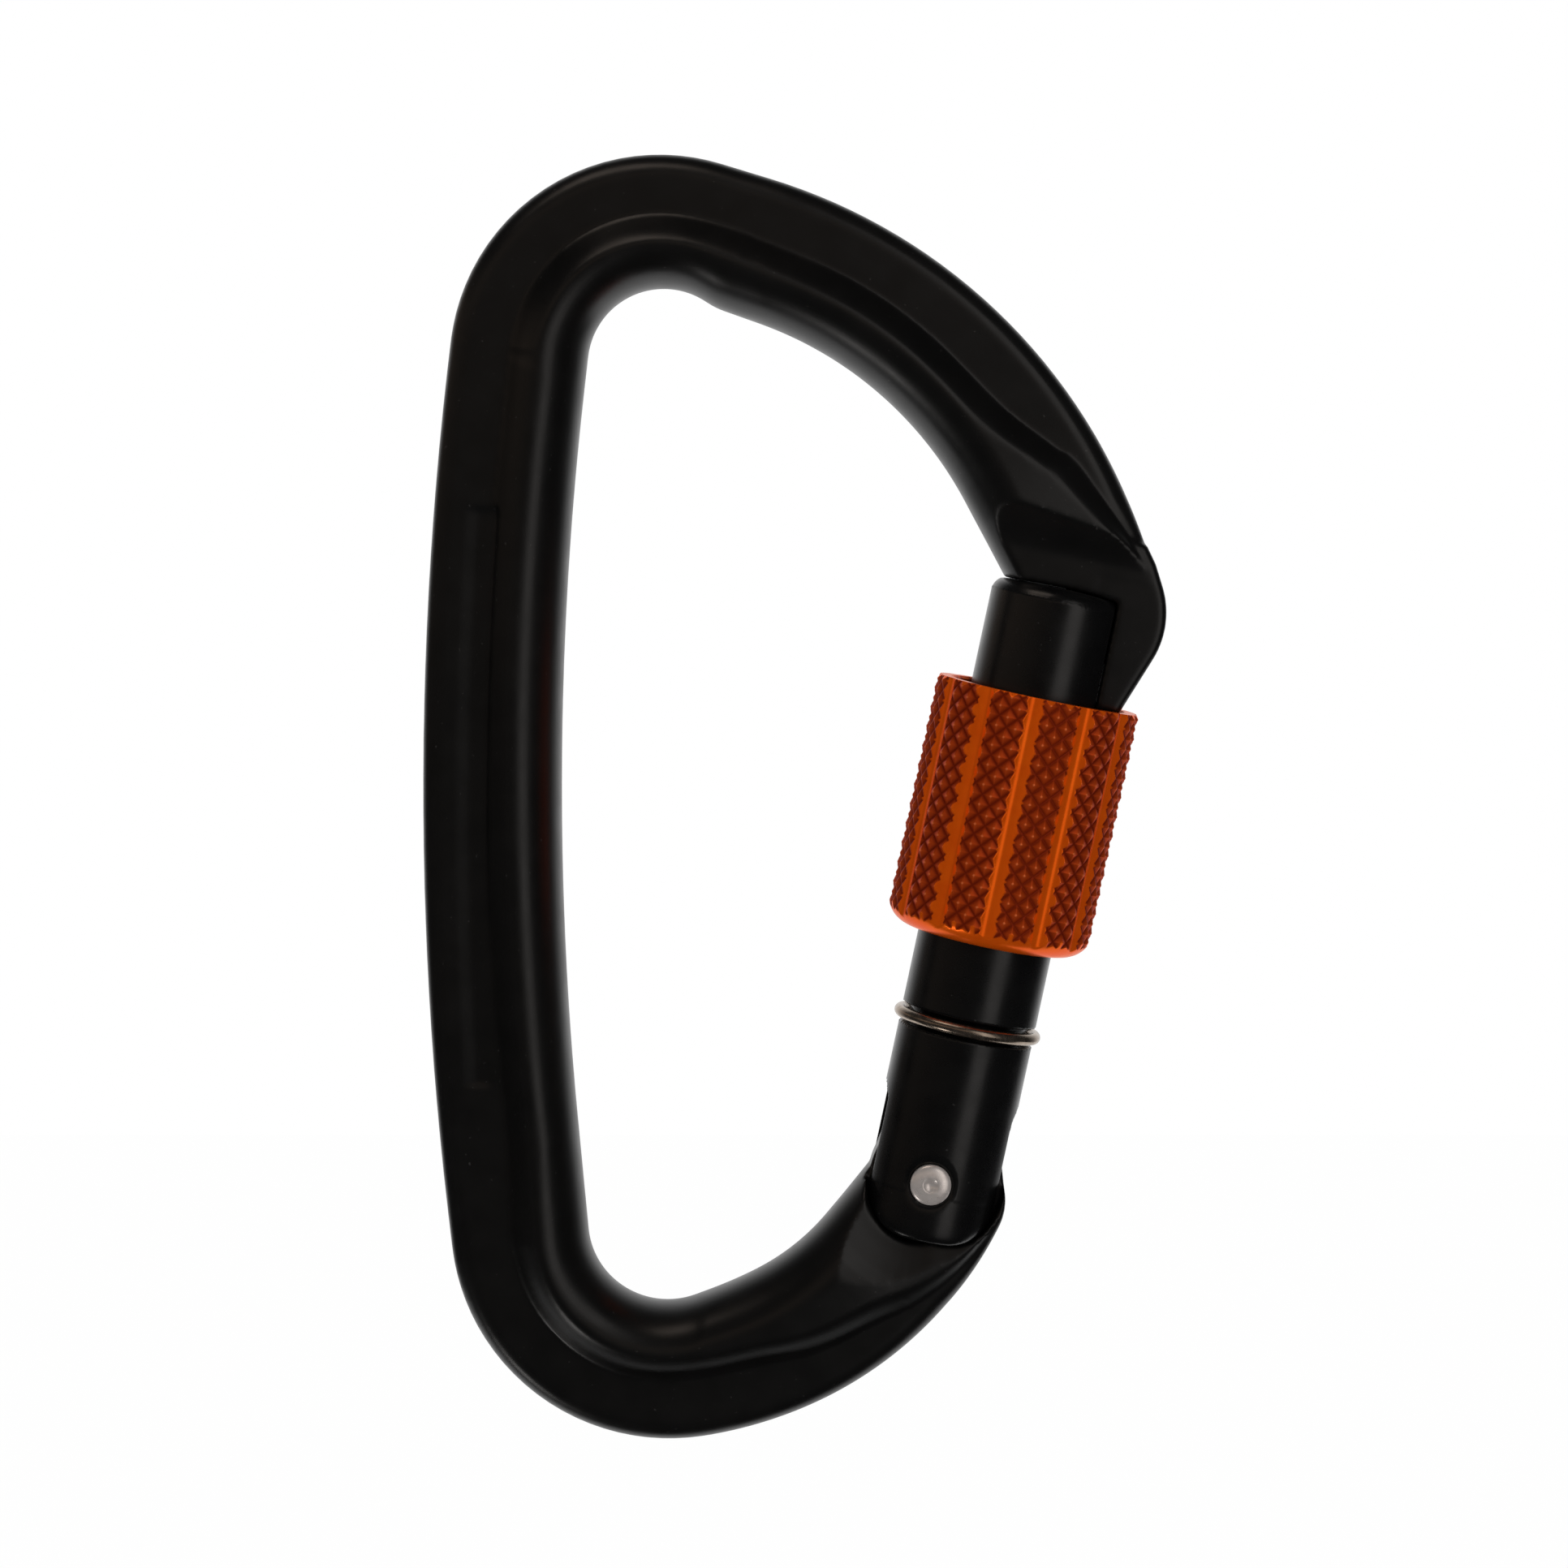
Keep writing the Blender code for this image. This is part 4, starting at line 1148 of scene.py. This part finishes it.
def end_radius(height):
    """The radius left by turning the round foot and the chamfered rim."""
    lift = np.clip(1 - height / SLEEVE_ROUND, 0, 1)
    foot = SLEEVE_RADIUS - SLEEVE_ROUND * (1 - np.sqrt(1 - lift ** 2)) * ROUND_PULL
    rim = SLEEVE_RADIUS - np.maximum(height - SLEEVE_LENGTH + SLEEVE_RIM, 0) * RIM_SLOPE
    return np.minimum(foot, rim)


def sleeve_inside():
    """The mouth, the step and the thread bore, from the rim down, as (radius, height)."""
    mouth = SLEEVE_LENGTH - MOUTH_DEPTH
    return ((SLEEVE_MOUTH + MOUTH_CHAMFER, SLEEVE_LENGTH),
            (SLEEVE_MOUTH, SLEEVE_LENGTH - MOUTH_CHAMFER_DEPTH), (SLEEVE_MOUTH, mouth),
            (SLEEVE_BORE, mouth - MOUTH_STEP), (SLEEVE_BORE, MOUTH_CHAMFER),
            (SLEEVE_BORE + MOUTH_CHAMFER, 0.0))


def crisp_rings(item, count, rows):
    """Shade a piece smooth, but keep the given rings of points as sharp edges."""
    mesh = item.data
    mesh.shade_smooth()
    ends = np.empty(len(mesh.edges) * 2, np.int32)
    mesh.edges.foreach_get("vertices", ends)
    row = ends.reshape(-1, 2) // count
    sharp = (row[:, 0] == row[:, 1]) & np.isin(row[:, 0], rows)
    flag = mesh.attributes.get("sharp_edge") or mesh.attributes.new("sharp_edge", "BOOLEAN", "EDGE")
    flag.data.foreach_set("value", sharp)


def sleeve_form():
    """The knurled and fluted nut as one closed skin."""
    turns = full_turn(SLEEVE_COLUMNS)
    foot = SLEEVE_ROUND * (1 - np.cos(np.radians(np.linspace(0, 60, ROUND_ROWS))))
    heights = np.concatenate([foot[:-1], np.linspace(foot[-1], SLEEVE_LENGTH, SLEEVE_ROWS)])
    turn, height = np.meshgrid(turns, heights)
    radius = np.minimum.reduce((knurl_radius(turn, height), flute_radius(turn), end_radius(height)))
    rings = np.stack([radius * np.cos(turn), radius * np.sin(turn), height], axis=-1)
    inside = [np.stack([r * np.cos(turns), r * np.sin(turns), np.full_like(turns, h)], axis=-1)
              for r, h in sleeve_inside()]
    made = skin("grip_sleeve", np.concatenate([rings, inside]), closed=True)
    count = len(heights) + len(inside)
    crisp_rings(made, SLEEVE_COLUMNS, [row % count for row in range(len(heights) - 1, count + 1)])
    return made


sleeve = sleeve_form()
print("sleeve faces:", len(sleeve.data.polygons))

# %% [markdown]
# The shader needs to know which points the flute cutter left smooth, and which lie deep in the knurl. The
# same formulas answer that, and the answers are stored on the mesh as attributes that a material can read.

# %% Mark the smooth flutes
SLEEVE_FOOT = 19.95 * MM
SLEEVE_TURN = math.radians(-4.0)
FLUTE_BORDER = 0.05 * MM


def mark_flutes(item):
    """Store how far each point is milled smooth, and how high it stands in the knurl."""
    points = points_of(item)
    turn = np.arctan2(points[:, 1], points[:, 0])
    knurl = knurl_radius(turn, points[:, 2])
    cut = np.minimum(flute_radius(turn), end_radius(points[:, 2]))
    smoothness = np.clip((knurl - cut) / FLUTE_BORDER + 0.5, 0, 1)
    for name, values in (("milled", smoothness), ("lift", knurl_lift(turn, points[:, 2]))):
        mark = item.data.attributes.new(name, "FLOAT", "POINT")
        mark.data.foreach_set("value", values.astype(np.float32))
    return smoothness.mean()


print(f"milled share of the sleeve: {mark_flutes(sleeve):.2f}")
sleeve_place = Matrix.Translation((GATE_SIDE, 0, SLEEVE_FOOT))
sleeve.data.transform(sleeve_place @ Matrix.Rotation(SLEEVE_TURN, 4, "Z"))

# %% [markdown]
# ## The stop ring
# A split ring of round steel wire snaps into the gate's groove and stops the sleeve on its way down. A
# torus would have no ends. This is a bent tube that stops short of a full turn, with rounded ends.

# %% Ring form
RING_RADIUS = 5.6 * MM
RING_WIRE = 0.5 * MM
RING_SPLIT = math.radians(9.0)
RING_STEPS = 160
RING_SIDES = 24
RING_TIP = (0.25, 0.6, 0.85, 0.97)
RING_TIP_SPAN = 0.008


def ring_form():
    """The split ring, open at the back."""
    start = math.pi / 2 + RING_SPLIT / 2
    sweep = 2 * math.pi - RING_SPLIT
    plain = RING_STEPS - 2 * len(RING_TIP)
    sizes = [*RING_TIP, *[1.0] * plain, *reversed(RING_TIP)]
    tip = np.linspace(0, RING_TIP_SPAN, len(RING_TIP) + 1)[:-1]
    middle = np.linspace(RING_TIP_SPAN, 1 - RING_TIP_SPAN, plain)
    places = np.concatenate([tip, middle, 1 - tip[::-1]])
    tilts = full_turn(RING_SIDES)
    rings = []
    for size, spot in zip(sizes, places):
        turn = start + sweep * spot
        radius = RING_RADIUS + RING_WIRE * size * np.cos(tilts)
        rings.append(np.stack([radius * math.cos(turn), radius * math.sin(turn),
                               RING_WIRE * size * np.sin(tilts)], axis=-1))
    made = skin("stop_ring_wire", rings, closed=False)
    made.data.shade_smooth()
    made.data.transform(Matrix.Translation((GATE_SIDE, 0, RING_PLACE)))
    return made


ring = ring_form()
print("ring faces:", len(ring.data.polygons))

# %% [markdown]
# ## The hinge rivet
# The rivet is a plain pin whose ends are spun over into low domes, with a small dimple from the spinning
# tool. It is a turned shape, so its outline is drawn once and spun round the hinge line.

# %% Rivet form
RIVET_RADIUS = 1.3 * MM
RIVET_HEAD = 1.66 * MM
RIVET_SHOULDER = 5.38 * MM
RIVET_SEAT = 4.9 * MM
RIVET_SKIRT = ((0.05 * MM, 0.04 * MM), (0.0, 0.12 * MM))
RIVET_TOP = 5.8 * MM
RIVET_DOME = 1.2 * MM
RIVET_DIMPLE = 0.62 * MM
RIVET_SINK = 0.22 * MM
RIVET_SEGMENTS = 96
SHARP_ANGLE = math.radians(50)


def rivet_form():
    """The pin with two spun heads."""
    edge = [(RIVET_HEAD - inset, RIVET_SEAT + up) for inset, up in RIVET_SKIRT]
    skirt = [(RIVET_RADIUS, RIVET_SEAT), *edge, (RIVET_HEAD, RIVET_SHOULDER)]
    rise = RIVET_TOP - RIVET_SHOULDER
    dome = [(RIVET_HEAD - RIVET_DOME * (1 - math.cos(t)), RIVET_SHOULDER + rise * math.sin(t))
            for t in np.radians(np.linspace(6, 78, 14))]
    dimple = [(RIVET_DIMPLE * math.cos(t), RIVET_TOP - RIVET_SINK * math.sin(t) ** 2)
              for t in np.radians(np.linspace(10, 90, 9))]
    head = [*skirt, *dome, *dimple]
    profile = [(r, -z) for r, z in reversed(head)] + head
    made = turned("rivet_pin", profile, RIVET_SEGMENTS)
    made.data.transform(CROSSWISE)
    made.data.shade_smooth()
    made.data.set_sharp_from_angle(angle=SHARP_ANGLE)
    return made


rivet = rivet_form()
print("rivet faces:", len(rivet.data.polygons))

# %% [markdown]
# ## Finishes
# Anodising is a thin hard skin of oxide that holds the dye. It is not paint: the metal's own tooling and
# blasting marks stay visible, and edges wear a little paler. One helper starts each finish, with
# coordinates that stay fixed to the piece, in millimetres. A photograph of a surface would be an easy way
# to such marks, but noise of the right size has no seams and stays sharp from close by.

# %% Finish helpers
def start_finish(name, roughness, metallic):
    """A new material with its shader and a coordinate output in millimetres."""
    made = bpy.data.materials.new(name)
    made.use_nodes = True
    tree = made.node_tree
    shader = tree.nodes["Principled BSDF"]
    shader.inputs["Roughness"].default_value = roughness
    shader.inputs["Metallic"].default_value = metallic
    where = tree.nodes.new("ShaderNodeTexCoord")
    scaled = tree.nodes.new("ShaderNodeVectorMath")
    scaled.operation = "SCALE"
    scaled.inputs["Scale"].default_value = 1 / MM
    tree.links.new(where.outputs["Object"], scaled.inputs[0])
    return made, tree, shader, scaled.outputs[0]


def finish_with(tree, shader, colour, roughness, normal):
    """Plug a finish's colour, roughness and surface marks into its shader."""
    for name, value in (("Base Color", colour), ("Roughness", roughness), ("Normal", normal)):
        tree.links.new(value, shader.inputs[name])


def grain(tree, where, size, detail=2.0, stretch=(1, 1, 1)):
    """Noise whose spots are about the given size in millimetres, stretched along the axes."""
    spread = tree.nodes.new("ShaderNodeVectorMath")
    spread.operation = "DIVIDE"
    spread.inputs[1].default_value = tuple(size * s for s in stretch)
    tree.links.new(where, spread.inputs[0])
    noise = tree.nodes.new("ShaderNodeTexNoise")
    noise.inputs["Scale"].default_value = 1.0
    noise.inputs["Detail"].default_value = detail
    tree.links.new(spread.outputs[0], noise.inputs["Vector"])
    return noise.outputs["Fac"]


def ramp(tree, value, *stops):
    """Colours or plain numbers along a value."""
    made = tree.nodes.new("ShaderNodeValToRGB")
    while len(made.color_ramp.elements) < len(stops):
        made.color_ramp.elements.new(0.5)
    for element, (spot, colour) in zip(made.color_ramp.elements, stops):
        element.position = spot
        element.color = (*(colour if isinstance(colour, tuple) else (colour,) * 3), 1.0)
    tree.links.new(value, made.inputs["Fac"])
    return made.outputs["Color"]


# %% [markdown]
# From noise come the three things that every finish here needs: soft patches of tone, fine bumps, and a
# blend of two colours.

# %% Patches, bumps and blends
PATCH_LOW, PATCH_HIGH = 0.3, 0.7


def patches(tree, where, size, low, high, detail=3.0):
    """A colour or number that drifts between two, in soft patches of the given size in millimetres."""
    return ramp(tree, grain(tree, where, size, detail), (PATCH_LOW, low), (PATCH_HIGH, high))


def bump(tree, height, depth, strength, under=None):
    """A bump of the given depth in millimetres, over another bump where there is one."""
    made = tree.nodes.new("ShaderNodeBump")
    made.inputs["Distance"].default_value = depth * MM
    made.inputs["Strength"].default_value = strength
    tree.links.new(height, made.inputs["Height"])
    if under is not None:
        tree.links.new(under, made.inputs["Normal"])
    return made.outputs["Normal"]


def blend_colour(tree, share, low, high):
    """Mix two colours or colour outputs by a share."""
    made = tree.nodes.new("ShaderNodeMix")
    made.data_type = "RGBA"
    tree.links.new(share, made.inputs["Factor"])
    for socket, colour in ((made.inputs["A"], low), (made.inputs["B"], high)):
        if isinstance(colour, tuple):
            socket.default_value = (*colour, 1.0)
        else:
            tree.links.new(colour, socket)
    return made.outputs["Result"]


# %% [markdown]
# Black dye is never quite even. It has a faint cloudiness, and a few specks of dust sit on it: those are
# the spots where a fine noise is at its very highest.

# %% Black dye
DUST = (0.02, 0.019, 0.018)
DUST_EDGE = 0.04


def black_dye(tree, where, cloud, low, high, speck, dust_from):
    """A black that drifts between two tones in clouds, with specks of dust; sizes in millimetres."""
    tone = patches(tree, where, cloud, low, high)
    fine = grain(tree, where, speck, 1.0)
    dust = ramp(tree, fine, (dust_from, 0.0), (dust_from + DUST_EDGE, 1.0))
    return blend_colour(tree, dust, tone, DUST)


# %% [markdown]
# The body is blasted before it is anodised black, so it has a fine satin grain over the very shallow waves
# of the forging. Its dye is a warm black.

# %% Body finish
def body_finish():
    """Satin black anodise over a blasted forging."""
    made, tree, shader, where = start_finish("body_black_satin", 0.33, 0.0)
    dye = black_dye(tree, where, 7.0, (0.0009, 0.0008, 0.0007), (0.0017, 0.0014, 0.0012), 0.35, 0.76)
    blasted = bump(tree, grain(tree, where, 0.12), 0.006, 0.35)
    forged = bump(tree, grain(tree, where, 3.0, 1.0), 0.03, 0.2, blasted)
    finish_with(tree, shader, dye, patches(tree, where, 2.5, 0.31, 0.37), forged)
    return made


body_black = body_finish()
print(body_black.name, len(body_black.node_tree.nodes), "nodes")

# %% [markdown]
# The gate is turned, so its marks run round the rod. Noise that is stretched a lot across the axis and
# squeezed along it draws these fine rings.

# %% Gate finish
def gate_finish():
    """Black anodise over fine turning marks."""
    made, tree, shader, where = start_finish("gate_black_turned", 0.27, 0.0)
    dye = black_dye(tree, where, 6.0, (0.0008, 0.0008, 0.0009), (0.0015, 0.0015, 0.0015), 0.3, 0.77)
    rings = bump(tree, grain(tree, where, 0.05, 1.0, (60, 60, 1)), 0.004, 0.3)
    finish_with(tree, shader, dye, patches(tree, where, 2.0, 0.24, 0.31), rings)
    return made


gate_black = gate_finish()
print(gate_black.name, len(gate_black.node_tree.nodes), "nodes")

# %% [markdown]
# The sleeve is anodised orange over bare metal, so the colour is in its mirror, not only in its paint. The
# milled flutes are smooth and bright. The knurl is painted darker than the flutes as painted shade, darkest
# in its grooves, and its tips are painted paler as painted highlights, so four colours follow the height
# that was stored on the mesh.

# %% Sleeve finish
# Painted shade and painted highlights: the knurl is darker than the flutes, darkest in its grooves and paler
# on its tips.
KNURL_SHADE_AND_HIGHLIGHT = (
    # height in the knurl, colour
    (0.0, (0.17, 0.009, 0.001)), (0.45, (0.40, 0.040, 0.004)), (0.85, (0.50, 0.056, 0.006)),
    (1.0, (0.85, 0.22, 0.08)))


def stored(tree, name):
    """A value that was stored on the mesh's points."""
    made = tree.nodes.new("ShaderNodeAttribute")
    made.attribute_name = name
    return made.outputs["Fac"]


def sleeve_finish():
    """Orange anodise, plain in the flutes, with painted shade in the knurl and painted highlights on its
    tips.
    """
    made, tree, shader, where = start_finish("sleeve_orange_anodise", 0.3, 0.55)
    shader.inputs["Specular Tint"].default_value = (1.0, 0.45, 0.25, 1)
    milled = stored(tree, "milled")
    # Painted shade in the knurl's grooves and painted highlights on its tips, read from the stored height.
    pressed = ramp(tree, stored(tree, "lift"), *KNURL_SHADE_AND_HIGHLIGHT)
    bright = patches(tree, where, 1.5, (0.82, 0.100, 0.002), (0.88, 0.122, 0.003))
    marks = bump(tree, grain(tree, where, 0.08), 0.006, 0.3)
    finish_with(tree, shader, blend_colour(tree, milled, pressed, bright),
                ramp(tree, milled, (0.0, 0.34), (1.0, 0.25)), marks)
    return made


sleeve_orange = sleeve_finish()
print(sleeve_orange.name, len(sleeve_orange.node_tree.nodes), "nodes")

# %% [markdown]
# Bare steel is easy: a full metal with a warm grey colour. The rivet's domes carry spinning marks and the
# wire has faint drawing lines. The rivet's matt head needs a little less metal, so that it stays pale
# where it mirrors the dim room. The spring and its plunger stay as their CAD solids inside the gate and
# get a steel finish too.

# %% Steel finishes
STEELS = (
    # name, dark tone, light tone, roughness, stretch of the marks along x, y and z, share of metal
    ("rivet_bright_steel", (0.72, 0.65, 0.61), (0.86, 0.79, 0.75), 0.3, (1, 8, 1), 0.7),
    ("ring_wire_steel", (0.30, 0.24, 0.19), (0.42, 0.34, 0.27), 0.24, (8, 8, 1), 1.0),
    ("spring_wire_steel", (0.42, 0.42, 0.42), (0.52, 0.52, 0.53), 0.32, (1, 1, 1), 1.0),
    ("plunger_turned_steel", (0.46, 0.46, 0.47), (0.56, 0.56, 0.57), 0.28, (20, 20, 1), 1.0),
)


def steel_finish(name, dark, light, roughness, marks, metallic):
    """Bare steel with a faint tone and fine marks that are stretched along the axes."""
    made, tree, shader, where = start_finish(name, roughness, metallic)
    lines = bump(tree, grain(tree, where, 0.05, 2.0, marks), 0.004, 0.3)
    finish_with(tree, shader, patches(tree, where, 0.6, dark, light),
                patches(tree, where, 0.4, roughness - 0.04, roughness + 0.06, 2.0), lines)
    return made


rivet_steel, ring_steel, spring_steel, plunger_steel = (steel_finish(*steel) for steel in STEELS)
print("steel finishes:", [steel[0] for steel in STEELS])

# %% [markdown]
# ## Everything in its place
# The gate's pieces take the gate's frame as their own, and each piece is tied to its CAD body. When a
# joint moves that body, the piece goes with it, so no pose needs any work by hand.

# %% Place the pieces
for piece in (gate, sleeve, ring, rivet):
    piece.matrix_world = GATE_FRAME
place(body, body_black, "body", "body_anodise", "body")
place(gate, gate_black, "gate", "gate_anodise", "gate")
place(sleeve, sleeve_orange, "sleeve", "sleeve_anodise", "screw_sleeve")
place(ring, ring_steel, "gate", "ring_steel", "stop_ring")
place(rivet, rivet_steel, "gate", "rivet_steel", "hinge_rivet")
for node, finish in (("gate_spring", spring_steel), ("spring_plunger", plunger_steel)):
    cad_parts[node].data.materials.clear()
    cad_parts[node].data.materials.append(finish)
